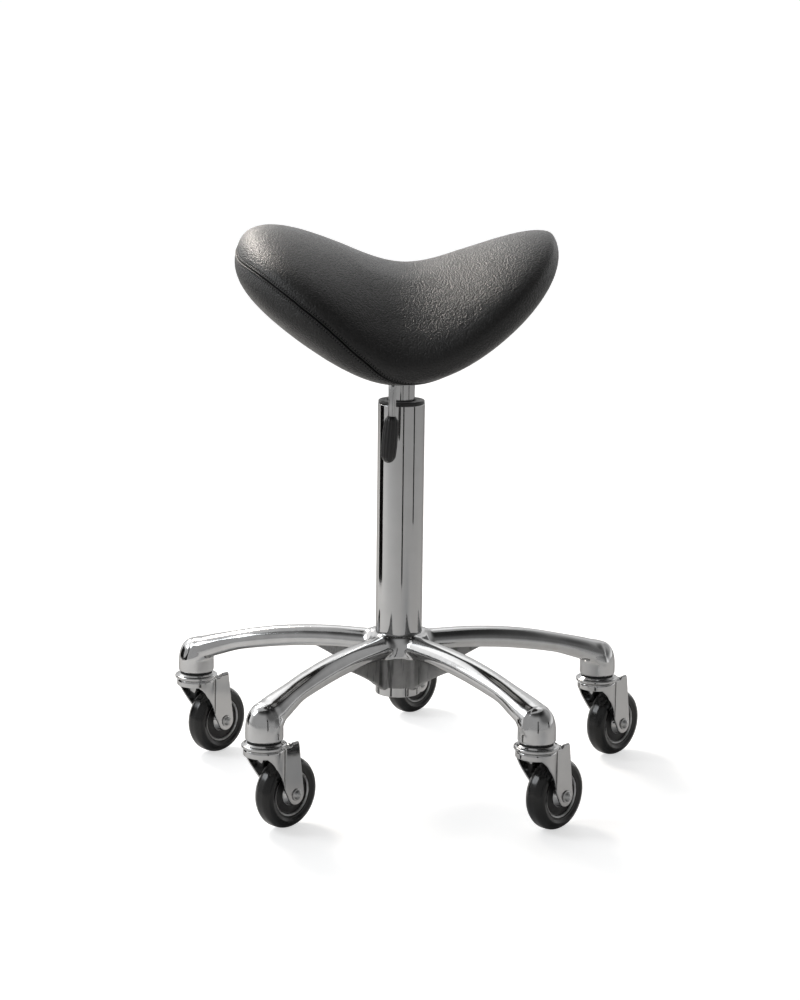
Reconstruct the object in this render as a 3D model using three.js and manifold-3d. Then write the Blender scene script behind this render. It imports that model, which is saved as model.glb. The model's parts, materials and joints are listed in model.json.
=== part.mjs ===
// Saddle stool on a gas lift: a five-arm cast base on swivel casters, a telescopic column, a release
// lever and a padded saddle. Millimetres, +Z up. The column's axis is x = y = 0 and the floor is z = 0
// while the pieces are made; the last lines stand the stool over the middle of its footprint.
// The sitter faces +X, the lever hangs on the -Y side, and one base arm points along +Y.
import * as THREE from "three";
import { mergeVertices } from "three/addons/utils/BufferGeometryUtils.js";
import Module from "manifold-3d";

const wasm = await Module();
wasm.setup();

// ---------------------------------------------------------------- driving dimensions

const GAP = 0.3; // left between pieces that touch
const FACETS = { saddle: 40, large: 30, medium: 20, small: 12, tiny: 8 }; // flats round a piece

const BASE = {
  arms: 5,
  socketCircle: 235, // radius of the circle of caster stems
  socketRadius: 19.5,
  socketFoot: 99.6,
  domeFoot: 108,
  armTop: 165,
  armFlat: 60, // the arm's ridge is level out to this radius
  armDroop: 0.000926, // then it falls with the square of the distance
  armWidth: 30,
  armDepth: 22,
  armCrown: 13, // height of the rounded part of the section
  hubRadius: 30,
  hubFoot: 108,
  hubShoulder: 142,
  hubShoulderRadius: 34,
  hubShoulderHeight: 10,
  webThickness: 6,
  webReach: 96,
  webOverlap: 4, // how far a web runs up into its arm
};

const LIFT = {
  tubeRadius: 25,
  tubeWall: 2,
  tubeFoot: 97,
  tubeFootRadius: 24.4,
  tubeNeck: 150, // the tube's slight taper ends here
  tubeTop: 415,
  plateFoot: 101.4,
  plateTop: 104.4,
  clipFoot: 99.7,
  clipTop: 101.1,
  clipRadius: 9,
  clipMouth: 6,
  bearingTop: 108.7,
  bearingRadius: 12,
  damperTop: 118,
  damperRadius: 11.5,
  bushFoot: 330,
  bushTop: 418.5,
  cylinderRadius: 14,
  cylinderBore: 12.2,
  cylinderFoot: 124,
  cylinderTop: 468,
  taperStart: 440,
  taperTopRadius: 13,
  rodRadius: 5,
  rodFoot: 98,
  rodTop: 350,
  grooveFoot: 99.4,
  grooveDepth: 1.2,
  pistonHeight: 8,
  valveFoot: 450,
  valveRadius: 2.4,
  valveTop: 474.5,
};

const CASTER = {
  trail: 31,
  heading: 47, // degrees from +X to the way the wheels trail
  wheelRadius: 37.5,
  tyreHalfWidth: 12,
  treadHalfWidth: 4.5,
  shoulderRadius: 35.6,
  sidewallRadius: 31,
  coreRadius: 24,
  coreHalfWidth: 12.8,
  cupRadius: 12.5,
  axleRadius: 4,
  axleHead: 21.5, // from the wheel's middle to the end of the head
  nutRadius: 7.4,
  nutHeight: 4.6,
  forkHalfWidth: 16,
  forkWall: 2.4,
  crownRadius: 21.5,
  crownTop: 92,
  earHeight: 2, // the rear of each leg stands this far above the crown
  skirtFoot: 84.2,
  legEndRadius: 11,
  raceRadius: 23.5,
  raceNeck: 12,
  raceHeight: 6.6,
  stemRadius: 5.5,
  stemFootRadius: 9,
  stemTop: 131.5,
};

const SEAT = {
  plateFoot: 483.8,
  plateThickness: 3,
  plateLength: 112,
  plateWidth: 92,
  boltX: 42,
  boltY: 33,
  boltRadius: 3,
  boltHeadRadius: 5.2,
  boltHeadHeight: 4,
  boltTop: 503.2,
  socketRadius: 20,
  socketChamber: 15.5,
  socketSlot: 11.8, // width of the slot that the lever's tongue works in
  earThickness: 3,
  boardUnderside: -32, // measured from the saddle's middle surface
  boardThickness: 10,
  boardReach: 0.79, // as a share of the saddle's outline
  recessReach: 0.8,
  boardRings: [0.06, 0.3, 0.55],
};

// The saddle's middle surface rises to the cantle and the pommel and falls to both flaps.
const SADDLE = {
  centreX: -6.2,
  centreZ: 528,
  halfWidth: 168.7,
  taper: 0.048, // the saddle is a little wider at the rear
  rear: { length: 168.8, rise: 63.1, wave: 1.377, sweep: 0.52, corner: 2.5 },
  front: { length: 165.1, rise: 78.7, wave: 1.394, sweep: 0.136, corner: 2.83 },
  drop: 58.1,
  dropPower: 1.72,
  dropTwist: 0.152,
  padUp: 31.7, // padding above the middle surface
  padDown: 49, // and below it, at the rim
  cantlePad: 0.795, // extra share of padding on top at the rear
  cantleLip: 0.163,
  blend: 0.22, // how gently that extra share sets in
  roundUp: 2.46, // exponents of the rim's rounding
  roundDown: 2.56,
};

const LEVER = {
  pivotY: -24,
  pivotZ: 478,
  pinRadius: 2.2,
  pinHalfLength: 11,
  rodRadius: 4,
  bossRadius: 5,
  bossHalfWidth: 4.8,
  tongueWidth: 7,
  tongueHeight: 4.5,
  tongueEnd: 4,
  gripTop: new THREE.Vector3(-11.5, -90, 416),
  gripFoot: new THREE.Vector3(-14.8, -90, 367),
  gripRadius: 8,
  rodInGrip: 0.6, // share of the grip's length that the rod fills
};

// ---------------------------------------------------------------- materials

const finish = (color, roughness, metalness) =>
  new THREE.MeshStandardMaterial({ color, roughness, metalness });
const polishedAluminium = finish(0xd4d5d6, 0.16, 1);
const chrome = finish(0xdcdee0, 0.08, 1);
const zincSteel = finish(0xa9abad, 0.38, 1);
const blackPlastic = finish(0x17181a, 0.45, 0);
const tyreRubber = finish(0x0e0e10, 0.3, 0);
const dampingRubber = finish(0x1c1c1c, 0.85, 0);
const blackLeather = finish(0x26272a, 0.5, 0);
const plywood = finish(0xb58a56, 0.75, 0);

// ---------------------------------------------------------------- solids and booleans

// A geometry as a manifold solid, turned right side out if its faces point in.
function solidOf(geometry) {
  const bare = new THREE.BufferGeometry();
  bare.setAttribute("position", geometry.getAttribute("position"));
  if (geometry.index) bare.setIndex(geometry.index);
  const merged = mergeVertices(bare, 1e-4);
  const vertProperties = new Float32Array(merged.attributes.position.array);
  const triVerts = new Uint32Array(merged.index.array);
  const build = () => new wasm.Manifold(new wasm.Mesh({ numProp: 3, vertProperties, triVerts }));
  const solid = build();
  if (solid.volume() >= 0) return solid;
  for (let i = 0; i < triVerts.length; i += 3) {
    [triVerts[i + 1], triVerts[i + 2]] = [triVerts[i + 2], triVerts[i + 1]];
  }
  return build();
}

function geometryOf(solid) {
  const mesh = solid.getMesh();
  const geometry = new THREE.BufferGeometry();
  geometry.setAttribute("position", new THREE.BufferAttribute(mesh.vertProperties, 3));
  geometry.setIndex(new THREE.BufferAttribute(mesh.triVerts, 1));
  geometry.computeVertexNormals();
  return geometry;
}

function join(first, ...others) {
  let solid = solidOf(first);
  for (const other of others) solid = solid.add(solidOf(other));
  return geometryOf(solid);
}

function cut(first, ...others) {
  let solid = solidOf(first);
  for (const other of others) solid = solid.subtract(solidOf(other));
  return geometryOf(solid);
}

function common(first, second) {
  return geometryOf(solidOf(first).intersect(solidOf(second)));
}

// ---------------------------------------------------------------- basic shapes

// A closed profile of [radius, z] pairs turned round the Z axis.
function turned(profile, segments) {
  const points = profile.map(([radius, z]) => new THREE.Vector2(radius, z));
  return new THREE.LatheGeometry(points, segments).rotateX(Math.PI / 2);
}

function ring(inner, outer, foot, top, segments) {
  const profile = [[inner, foot], [outer, foot], [outer, top], [inner, top], [inner, foot]];
  return turned(profile, segments);
}

function rod(radius, foot, top, segments) {
  return turned([[0, foot], [radius, foot], [radius, top], [0, top]], segments);
}

function block(sizeX, sizeY, sizeZ, x, y, z) {
  return new THREE.BoxGeometry(sizeX, sizeY, sizeZ).translate(x, y, z);
}

// Rings of points with the same count, skinned in order and closed by a fan at each end. Each
// four-sided patch is split along its shorter diagonal.
function loft(rings) {
  const count = rings[0].length;
  const centre = (points) =>
    points.reduce((sum, p) => sum.add(p), new THREE.Vector3()).divideScalar(count);
  const points = [...rings.flat(), centre(rings[0]), centre(rings[rings.length - 1])];
  const firstCentre = points.length - 2;
  const lastCentre = points.length - 1;
  const lastRing = (rings.length - 1) * count;
  const index = [];
  for (let i = 0; i < count; i++) {
    const j = (i + 1) % count;
    index.push(firstCentre, j, i);
    index.push(lastCentre, lastRing + i, lastRing + j);
    for (let k = 0; k < lastRing; k += count) {
      const [a, b, c, d] = [k + i, k + j, k + count + j, k + count + i];
      const acrossAC = points[a].distanceTo(points[c]) <= points[b].distanceTo(points[d]);
      index.push(...(acrossAC ? [a, b, c, a, c, d] : [a, b, d, b, c, d]));
    }
  }
  return new THREE.BufferGeometry().setFromPoints(points).setIndex(index);
}

function part(name, geometry, material, group) {
  const mesh = new THREE.Mesh(geometryOf(solidOf(geometry)), material);
  mesh.name = name;
  group.add(mesh);
  return mesh;
}

// ---------------------------------------------------------------- cast base

const armRidge = (radius) => {
  const beyond = Math.max(0, radius - BASE.armFlat);
  return BASE.armTop - BASE.armDroop * beyond * beyond;
};

// Flat-sided section with a rounded crown, standing across the arm at one radius from the hub.
function armSection(radius) {
  const half = BASE.armWidth / 2;
  const ridge = armRidge(radius);
  const points = [];
  for (let i = 0; i <= 6; i++) {
    const angle = (Math.PI * i) / 6;
    const z = ridge - BASE.armCrown * (1 - Math.sin(angle));
    points.push(new THREE.Vector3(radius, half * Math.cos(angle), z));
  }
  points.push(new THREE.Vector3(radius, -half, ridge - BASE.armDepth));
  points.push(new THREE.Vector3(radius, half, ridge - BASE.armDepth));
  return points;
}

function arm() {
  const radii = [BASE.hubRadius - 3, BASE.armFlat, 100, 135, 170, 205, BASE.socketCircle];
  return loft(radii.map(armSection));
}

function casterSocket() {
  const { socketRadius: r, domeFoot, socketFoot, socketCircle } = BASE;
  const domeHeight = armRidge(socketCircle) - domeFoot;
  const profile = [[0, socketFoot], [r - 1, socketFoot], [r, socketFoot + 1]];
  for (let i = 0; i <= 4; i++) {
    const angle = (Math.PI / 2) * (i / 4);
    profile.push([r * Math.cos(angle), domeFoot + domeHeight * Math.sin(angle)]);
  }
  profile[profile.length - 1][0] = 0;
  return turned(profile, FACETS.medium).translate(socketCircle, 0, 0);
}

// Gusset that carries the arm's load from under it down to the foot of the hub.
function armWeb() {
  const inner = LIFT.tubeRadius + LIFT.tubeWall;
  const under = armRidge(BASE.webReach) - BASE.armDepth;
  const outline = new THREE.Shape();
  outline.moveTo(inner, BASE.hubFoot);
  outline.lineTo(BASE.hubRadius + 2, BASE.hubFoot);
  outline.quadraticCurveTo(60, 127, BASE.webReach, under);
  outline.lineTo(BASE.webReach, under + BASE.webOverlap);
  outline.lineTo(inner, under + BASE.webOverlap);
  const options = { depth: BASE.webThickness, bevelEnabled: false, curveSegments: 4 };
  const web = new THREE.ExtrudeGeometry(outline, options);
  return web.translate(0, 0, -BASE.webThickness / 2).rotateX(Math.PI / 2);
}

function hub() {
  const top = BASE.armTop + 0.5;
  const { hubRadius, hubFoot, hubShoulder, hubShoulderRadius: shoulder, hubShoulderHeight } = BASE;
  return turned(
    [
      [0, hubFoot], [hubRadius - 1, hubFoot], [hubRadius, hubFoot + 1], [hubRadius, hubShoulder],
      [shoulder, hubShoulder + 1], [shoulder, hubShoulder + hubShoulderHeight], [shoulder - 2, top - 4],
      [shoulder - 6, top], [0, top],
    ],
    FACETS.large,
  );
}

function columnBore() {
  const foot = [LIFT.tubeFootRadius + GAP + 0.1, BASE.hubFoot - 5];
  const head = [LIFT.tubeRadius + GAP, BASE.armTop + 5];
  const neck = [LIFT.tubeRadius + GAP, LIFT.tubeNeck];
  return turned([[0, foot[1]], foot, neck, head, [0, head[1]]], FACETS.large);
}

function baseStar() {
  let star = hub();
  const bores = [columnBore()];
  for (let i = 0; i < BASE.arms; i++) {
    const angle = Math.PI / 2 - (2 * Math.PI * i) / BASE.arms;
    const spoke = join(arm(), casterSocket(), armWeb()).rotateZ(angle);
    const bore = rod(CASTER.stemRadius + GAP, BASE.socketFoot - 2, CASTER.stemTop + GAP, FACETS.small);
    star = join(star, spoke);
    bores.push(bore.translate(BASE.socketCircle, 0, 0).rotateZ(angle));
  }
  return cut(star, ...bores);
}

// ---------------------------------------------------------------- gas lift

function columnTube() {
  const { tubeRadius: r, tubeWall: wall, tubeFoot, tubeFootRadius, tubeNeck, tubeTop } = LIFT;
  const inner = r - wall;
  const footInner = tubeFootRadius - wall;
  return turned(
    [
      [footInner, tubeFoot], [tubeFootRadius, tubeFoot], [r, tubeNeck], [r, tubeTop - 1],
      [r - 0.6, tubeTop], [inner, tubeTop], [inner, tubeNeck], [footInner, tubeFoot],
    ],
    FACETS.large,
  );
}

function columnBush() {
  const bore = LIFT.cylinderRadius + GAP;
  const body = LIFT.tubeRadius - LIFT.tubeWall - GAP;
  const flange = LIFT.tubeRadius - 0.4;
  const { bushFoot, bushTop, tubeTop } = LIFT;
  return turned(
    [
      [bore, bushFoot], [body, bushFoot], [body, tubeTop + GAP], [flange, tubeTop + GAP],
      [flange, bushTop - 1], [flange - 1.2, bushTop], [bore, bushTop], [bore, bushFoot],
    ],
    FACETS.large,
  );
}

function gasCylinder() {
  const { cylinderRadius: r, cylinderBore: bore, cylinderFoot: foot, cylinderTop: top } = LIFT;
  const { taperStart, taperTopRadius, rodRadius, valveRadius } = LIFT;
  const guide = rodRadius + GAP;
  const valve = valveRadius + GAP;
  return turned(
    [
      [guide, foot], [r - 0.5, foot], [r, foot + 1], [r, taperStart], [taperTopRadius, top - 1],
      [taperTopRadius - 1, top], [valve, top], [valve, top - 10], [bore - 2, top - 10],
      [bore, top - 14], [bore, foot + 6], [guide, foot + 6], [guide, foot],
    ],
    FACETS.medium,
  );
}

// The rod hangs in the column's floor by the groove near its foot, and ends above in a piston.
function pistonRod() {
  const { rodRadius: r, rodFoot, rodTop, cylinderBore, grooveFoot, grooveDepth, plateFoot } = LIFT;
  const piston = cylinderBore - GAP;
  const pistonFoot = rodTop - LIFT.pistonHeight;
  return turned(
    [
      [0, rodFoot], [r, rodFoot], [r, grooveFoot], [r - grooveDepth, grooveFoot],
      [r - grooveDepth, plateFoot], [r, plateFoot], [r, pistonFoot], [piston, pistonFoot],
      [piston, rodTop], [0, rodTop],
    ],
    FACETS.small,
  );
}

function retainingClip() {
  const { rodRadius, grooveDepth, clipFoot, clipTop, clipRadius, clipMouth } = LIFT;
  const full = ring(rodRadius - grooveDepth + GAP, clipRadius, clipFoot, clipTop, FACETS.small);
  return cut(full, block(12, clipMouth, 4, 8, 0, (clipFoot + clipTop) / 2));
}

function buildLift(group) {
  const hole = LIFT.rodRadius + GAP;
  const plateRadius = LIFT.tubeFootRadius - LIFT.tubeWall - GAP;
  part("column_tube", columnTube(), chrome, group);
  part("column_bush", columnBush(), blackPlastic, group);
  const { plateFoot, plateTop, bearingTop, bearingRadius, damperTop, damperRadius } = LIFT;
  const washer = (radius, foot, top) => ring(hole, radius, foot, top, FACETS.medium);
  part("lift_end_plate", washer(plateRadius, plateFoot, plateTop), zincSteel, group);
  part("retaining_clip", retainingClip(), zincSteel, group);
  part("thrust_bearing", washer(bearingRadius, plateTop + GAP, bearingTop), zincSteel, group);
  part("rubber_damper", washer(damperRadius, bearingTop + GAP, damperTop), dampingRubber, group);
  part("piston_rod", pistonRod(), chrome, group);
  part("gas_cylinder", gasCylinder(), chrome, group);
  const { valveRadius, valveFoot, valveTop } = LIFT;
  part("valve_pin", rod(valveRadius, valveFoot, valveTop, FACETS.small), zincSteel, group);
}

// ---------------------------------------------------------------- casters

// Local frame of a caster: the stem is the Z axis, the wheel trails along +X, the axle lies along Y
// with its head on the -Y side.

function forkPlan(inset) {
  const half = CASTER.forkHalfWidth - inset;
  const radius = CASTER.crownRadius - inset;
  const side = Math.asin(half / radius);
  const plan = new THREE.Shape();
  plan.moveTo(60, -half);
  plan.lineTo(60, half);
  plan.absarc(0, 0, radius, side, 2 * Math.PI - side, false);
  plan.closePath();
  return plan;
}

// Side view of a leg: a short skirt in front, a hollow sweep down to a round end about the axle, and a
// leaning rear edge that stands a little above the crown.
function forkSide() {
  const { trail, wheelRadius, crownTop, earHeight, skirtFoot, legEndRadius: end } = CASTER;
  const side = new THREE.Shape();
  side.moveTo(-30, crownTop);
  side.lineTo(-30, skirtFoot);
  side.lineTo(-11.5, skirtFoot - 0.6);
  side.quadraticCurveTo(-6.5, 79, -2, 72);
  side.quadraticCurveTo(9, 57, trail - end * 0.86, wheelRadius - end * 0.51);
  side.absarc(trail, wheelRadius, end, Math.PI * 1.17, Math.PI * 2.03, false);
  side.lineTo(34.5, crownTop + earHeight);
  side.lineTo(25, crownTop + earHeight);
  side.lineTo(25, crownTop);
  side.closePath();
  return side;
}

function fork() {
  const { crownTop, forkWall, trail, wheelRadius, axleRadius, stemRadius } = CASTER;
  const flat = { bevelEnabled: false, curveSegments: 6 };
  const outer = new THREE.ExtrudeGeometry(forkPlan(0), { ...flat, depth: 80 }).translate(0, 0, 20);
  const inner = new THREE.ExtrudeGeometry(forkPlan(forkWall), { ...flat, depth: 90 });
  const hollow = inner.translate(0, 0, crownTop - forkWall - 90);
  const slab = new THREE.ExtrudeGeometry(forkSide(), { ...flat, depth: 60 });
  const profile = slab.translate(0, 0, -30).rotateX(Math.PI / 2);
  const behindCrown = block(30, 2 * (CASTER.forkHalfWidth - forkWall), 10, 39, 0, crownTop + 5);
  const stemHole = rod(stemRadius + GAP, 80, 100, FACETS.small);
  const axleHole = rod(axleRadius + GAP, -30, 30, FACETS.small).rotateX(Math.PI / 2);
  axleHole.translate(trail, 0, wheelRadius);
  return cut(common(outer, profile), hollow, behindCrown, stemHole, axleHole);
}

// Domed ball race between the fork and the socket, fixed on the stem.
function race() {
  const bore = CASTER.stemRadius + GAP;
  const { raceRadius: r, raceNeck, raceHeight } = CASTER;
  const foot = CASTER.crownTop + GAP;
  const top = foot + raceHeight;
  return turned(
    [
      [bore, foot], [r, foot], [r, foot + 2.4], [r - 3, foot + 3.2], [raceNeck, top], [bore, top],
      [bore, foot],
    ],
    FACETS.medium,
  );
}

// Stem pressed up into the arm's socket, with a riveted foot that carries the fork from inside.
function stem() {
  const { stemRadius: r, stemFootRadius: flange, stemTop } = CASTER;
  const under = CASTER.crownTop - CASTER.forkWall - GAP;
  return turned(
    [
      [0, under - 3], [flange - 2, under - 3], [flange, under - 1.5], [flange, under], [r, under],
      [r, stemTop], [0, stemTop],
    ],
    FACETS.small,
  );
}

function axle() {
  const r = CASTER.axleRadius;
  const face = CASTER.forkHalfWidth + GAP;
  return turned(
    [
      [0, -CASTER.axleHead], [r, -CASTER.axleHead], [r, face], [r + 1.4, face], [r + 0.6, face + 1.8],
      [0, face + 2.6],
    ],
    FACETS.small,
  ).rotateX(Math.PI / 2);
}

function axleNut() {
  const face = CASTER.forkHalfWidth + GAP;
  const hole = rod(CASTER.axleRadius + GAP, face - 1, face + 6, FACETS.small);
  const hexagon = rod(CASTER.nutRadius, face, face + CASTER.nutHeight, 6);
  return cut(hexagon, hole).rotateX(-Math.PI / 2);
}

// Wheel pieces turn about Y. Their polygons stand on a flat, which keeps the stool at its true height.
function wheelPiece(profile, segments) {
  const flat = 1 / Math.cos(Math.PI / segments);
  const wide = profile.map(([radius, along]) => [radius * flat, along]);
  return turned(wide, segments).rotateZ(Math.PI / segments).rotateX(Math.PI / 2);
}

function tyre() {
  const { wheelRadius: r, tyreHalfWidth: half, treadHalfWidth: tread } = CASTER;
  const { shoulderRadius: shoulder, sidewallRadius: sidewall } = CASTER;
  const bore = CASTER.coreRadius + GAP;
  const bead = half - 2;
  return wheelPiece(
    [
      [bore, -bead], [sidewall, -half], [shoulder, -half + 3], [r, -tread], [r, tread],
      [shoulder, half - 3], [sidewall, half], [bore, bead], [bore, -bead],
    ],
    FACETS.medium,
  );
}

function wheelCore() {
  const { coreRadius, coreHalfWidth: half, cupRadius, axleRadius } = CASTER;
  const bore = axleRadius + GAP;
  const sides = [
    [bore, half], [cupRadius - 1.5, half], [cupRadius, 8], [coreRadius - 3.5, 7.4], [coreRadius, 9.6],
  ];
  const otherSide = sides.map(([radius, along]) => [radius, -along]).reverse();
  return wheelPiece([...sides, ...otherSide, sides[0]], FACETS.medium);
}

function buildCasters(stool) {
  const { trail, wheelRadius, heading } = CASTER;
  const { socketCircle } = BASE;
  for (let i = 0; i < BASE.arms; i++) {
    const name = `caster_${i + 1}_`;
    const angle = Math.PI / 2 - (2 * Math.PI * i) / BASE.arms;
    const caster = new THREE.Group();
    caster.position.set(socketCircle * Math.cos(angle), socketCircle * Math.sin(angle), 0);
    caster.rotation.z = THREE.MathUtils.degToRad(heading);
    part(name + "stem", stem(), zincSteel, caster);
    part(name + "race", race(), chrome, caster);
    part(name + "fork", fork(), chrome, caster);
    const wheel = new THREE.Group();
    wheel.position.set(trail, 0, wheelRadius);
    part(name + "axle", axle(), zincSteel, wheel);
    part(name + "nut", axleNut(), zincSteel, wheel);
    part(name + "core", wheelCore(), blackPlastic, wheel);
    part(name + "tyre", tyre(), tyreRubber, wheel);
    caster.add(wheel);
    stool.add(caster);
  }
}

// ---------------------------------------------------------------- saddle

const saddleEnd = (share) => (share < 0 ? SADDLE.rear : SADDLE.front);

function saddleMiddle(x, y) {
  const end = saddleEnd(x - SADDLE.centreX);
  const along = (x - SADDLE.centreX) / end.length;
  const across = Math.abs(y) / SADDLE.halfWidth;
  const phase = Math.abs(along) / (end.wave * (1 - end.sweep * across * across));
  const rise = (end.rise / 2) * (1 - Math.cos(Math.PI * Math.min(phase, 1.7)));
  const drop = SADDLE.drop * across ** SADDLE.dropPower * (1 + SADDLE.dropTwist * along);
  return SADDLE.centreZ + rise - drop;
}

// A point at a share of the way from the saddle's centre to its outline, raised off the middle surface.
function saddlePoint(angle, share, height) {
  const [c, s] = [Math.cos(angle), Math.sin(angle)];
  const end = saddleEnd(c);
  const reach = (Math.abs(c) ** end.corner + Math.abs(s) ** end.corner) ** (-1 / end.corner);
  const ahead = share * reach * c;
  const x = SADDLE.centreX + ahead * end.length;
  const y = share * reach * s * SADDLE.halfWidth * (1 - SADDLE.taper * ahead);
  const slopeX = saddleMiddle(x + 0.5, y) - saddleMiddle(x - 0.5, y);
  const slopeY = saddleMiddle(x, y + 0.5) - saddleMiddle(x, y - 0.5);
  const normal = new THREE.Vector3(-slopeX, -slopeY, 1).normalize();
  const rearward = (Math.hypot(ahead, SADDLE.blend) - ahead) / 2;
  const lift = typeof height === "function" ? height(rearward) : height;
  return new THREE.Vector3(x, y, saddleMiddle(x, y)).addScaledVector(normal, lift);
}

// Rings of [share, height] pairs, from the middle of the upper face to the middle of the lower one.
function saddleSolid(profile) {
  const segments = FACETS.saddle;
  const rings = profile.map(([share, height]) => {
    const points = [];
    for (let i = 0; i < segments; i++) {
      points.push(saddlePoint((2 * Math.PI * i) / segments, share, height));
    }
    return points;
  });
  return loft(rings);
}

function cushion() {
  const { padUp, padDown, roundUp, roundDown, cantlePad, cantleLip } = SADDLE;
  const profile = [];
  for (const degrees of [86, 75, 60, 45, 32, 20, 10, 3, 0]) {
    const angle = THREE.MathUtils.degToRad(degrees);
    const height = padUp * Math.sin(angle) ** (2 / roundUp);
    profile.push([Math.cos(angle) ** (2 / roundUp), (rearward) => height * (1 + cantlePad * rearward)]);
  }
  for (const degrees of [3, 10, 20, 32, 45]) {
    const angle = THREE.MathUtils.degToRad(degrees);
    const height = -padDown * Math.sin(angle) ** (2 / roundDown);
    profile.push([Math.cos(angle) ** (2 / roundDown), (rearward) => height * (1 + cantleLip * rearward)]);
  }
  const seatOfBoard = SEAT.boardUnderside + SEAT.boardThickness + GAP;
  profile.push([SEAT.recessReach, SEAT.boardUnderside]);
  profile.push([SEAT.recessReach, seatOfBoard]);
  for (const share of [...SEAT.boardRings].reverse()) profile.push([share, seatOfBoard]);
  return saddleSolid(profile);
}

function seatBoard() {
  const { boardUnderside: foot, boardThickness, boardReach: reach } = SEAT;
  const top = foot + boardThickness;
  const shares = [...SEAT.boardRings, reach];
  const upper = shares.map((share) => [share, top]);
  const lower = shares.map((share) => [share, foot]).reverse();
  return cut(saddleSolid([...upper, ...lower]), ...boltRods(GAP, 470, SEAT.boltTop + 2 * GAP));
}

function boltRods(extra, foot, top) {
  const rods = [];
  for (const [sideX, sideY] of [[1, 1], [1, -1], [-1, 1], [-1, -1]]) {
    const shank = rod(SEAT.boltRadius + extra, foot, top, FACETS.tiny);
    rods.push(shank.translate(sideX * SEAT.boltX, sideY * SEAT.boltY, 0));
  }
  return rods;
}

// Plywood pad with a flat foot, shaped on top to the curve of the board.
function mountingBlock() {
  const foot = SEAT.plateFoot + SEAT.plateThickness + GAP;
  const height = 40;
  const blank = block(SEAT.plateLength, SEAT.plateWidth, height, 0, 0, foot + height / 2);
  const upper = SEAT.boardUnderside - GAP;
  const lower = upper - 1.5 * height;
  const [inner, , outer] = SEAT.boardRings;
  const face = SEAT.boardRings.map((share) => [share, upper]);
  const below = saddleSolid([...face, [outer, lower], [inner, lower]]);
  return cut(common(blank, below), ...boltRods(GAP, foot - 2, 530));
}

function seatPlate() {
  const { plateLength, plateWidth, plateThickness, plateFoot } = SEAT;
  const corner = 12;
  const x = plateLength / 2 - corner;
  const y = plateWidth / 2 - corner;
  const outline = new THREE.Shape();
  outline.absarc(x, y, corner, 0, Math.PI / 2, false);
  outline.absarc(-x, y, corner, Math.PI / 2, Math.PI, false);
  outline.absarc(-x, -y, corner, Math.PI, 1.5 * Math.PI, false);
  outline.absarc(x, -y, corner, 1.5 * Math.PI, 2 * Math.PI, false);
  outline.closePath();
  const options = { depth: plateThickness, bevelEnabled: false, curveSegments: 4 };
  const plate = new THREE.ExtrudeGeometry(outline, options).translate(0, 0, plateFoot);
  return cut(plate, ...boltRods(GAP, plateFoot - 2, plateFoot + 10));
}

// Cone that grips the cylinder's taper, with a chamber above it for the lever's tongue.
function taperSocket() {
  const { taperStart, taperTopRadius, cylinderRadius, cylinderTop } = LIFT;
  const { socketRadius: r, socketChamber, socketSlot, earThickness } = SEAT;
  const foot = taperStart + 3;
  const top = SEAT.plateFoot - GAP;
  const body = turned(
    [
      [cylinderRadius + GAP, foot], [r - 1, foot], [r, foot + 3], [r, top], [socketChamber, top],
      [socketChamber, cylinderTop + 0.5], [taperTopRadius + GAP + 0.1, cylinderTop - 0.5],
      [cylinderRadius + GAP, foot],
    ],
    FACETS.medium,
  );
  const earX = (socketSlot + earThickness) / 2 + GAP;
  const ears = [earX, -earX].map((x) => block(earThickness, 16, 13, x, LEVER.pivotY + 1, top - 6.5));
  const slot = block(socketSlot, 34, 30, 0, LEVER.pivotY + 2, cylinderTop + 16);
  const pinHole = rod(LEVER.pinRadius + GAP, -20, 20, FACETS.small).rotateY(Math.PI / 2);
  pinHole.translate(0, LEVER.pivotY, LEVER.pivotZ);
  return cut(join(body, ...ears), slot, pinHole);
}

function seatBolt() {
  const { boltRadius: r, boltHeadRadius: head, boltHeadHeight: height, boltTop } = SEAT;
  const under = SEAT.plateFoot - GAP;
  return turned(
    [
      [0, under - height], [head, under - height + 0.6], [head, under], [r, under], [r, boltTop],
      [0, boltTop],
    ],
    FACETS.tiny,
  );
}

function buildSeat(group) {
  part("seat_cushion", cushion(), blackLeather, group);
  part("seat_board", seatBoard(), plywood, group);
  part("mounting_block", mountingBlock(), plywood, group);
  part("seat_plate", seatPlate(), zincSteel, group);
  part("taper_socket", taperSocket(), zincSteel, group);
  let number = 1;
  for (const [sideX, sideY] of [[1, 1], [1, -1], [-1, 1], [-1, -1]]) {
    const bolt = part(`seat_bolt_${number}`, seatBolt(), zincSteel, group);
    bolt.position.set(sideX * SEAT.boltX, sideY * SEAT.boltY, 0);
    number += 1;
  }
}

// ---------------------------------------------------------------- lever

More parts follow.
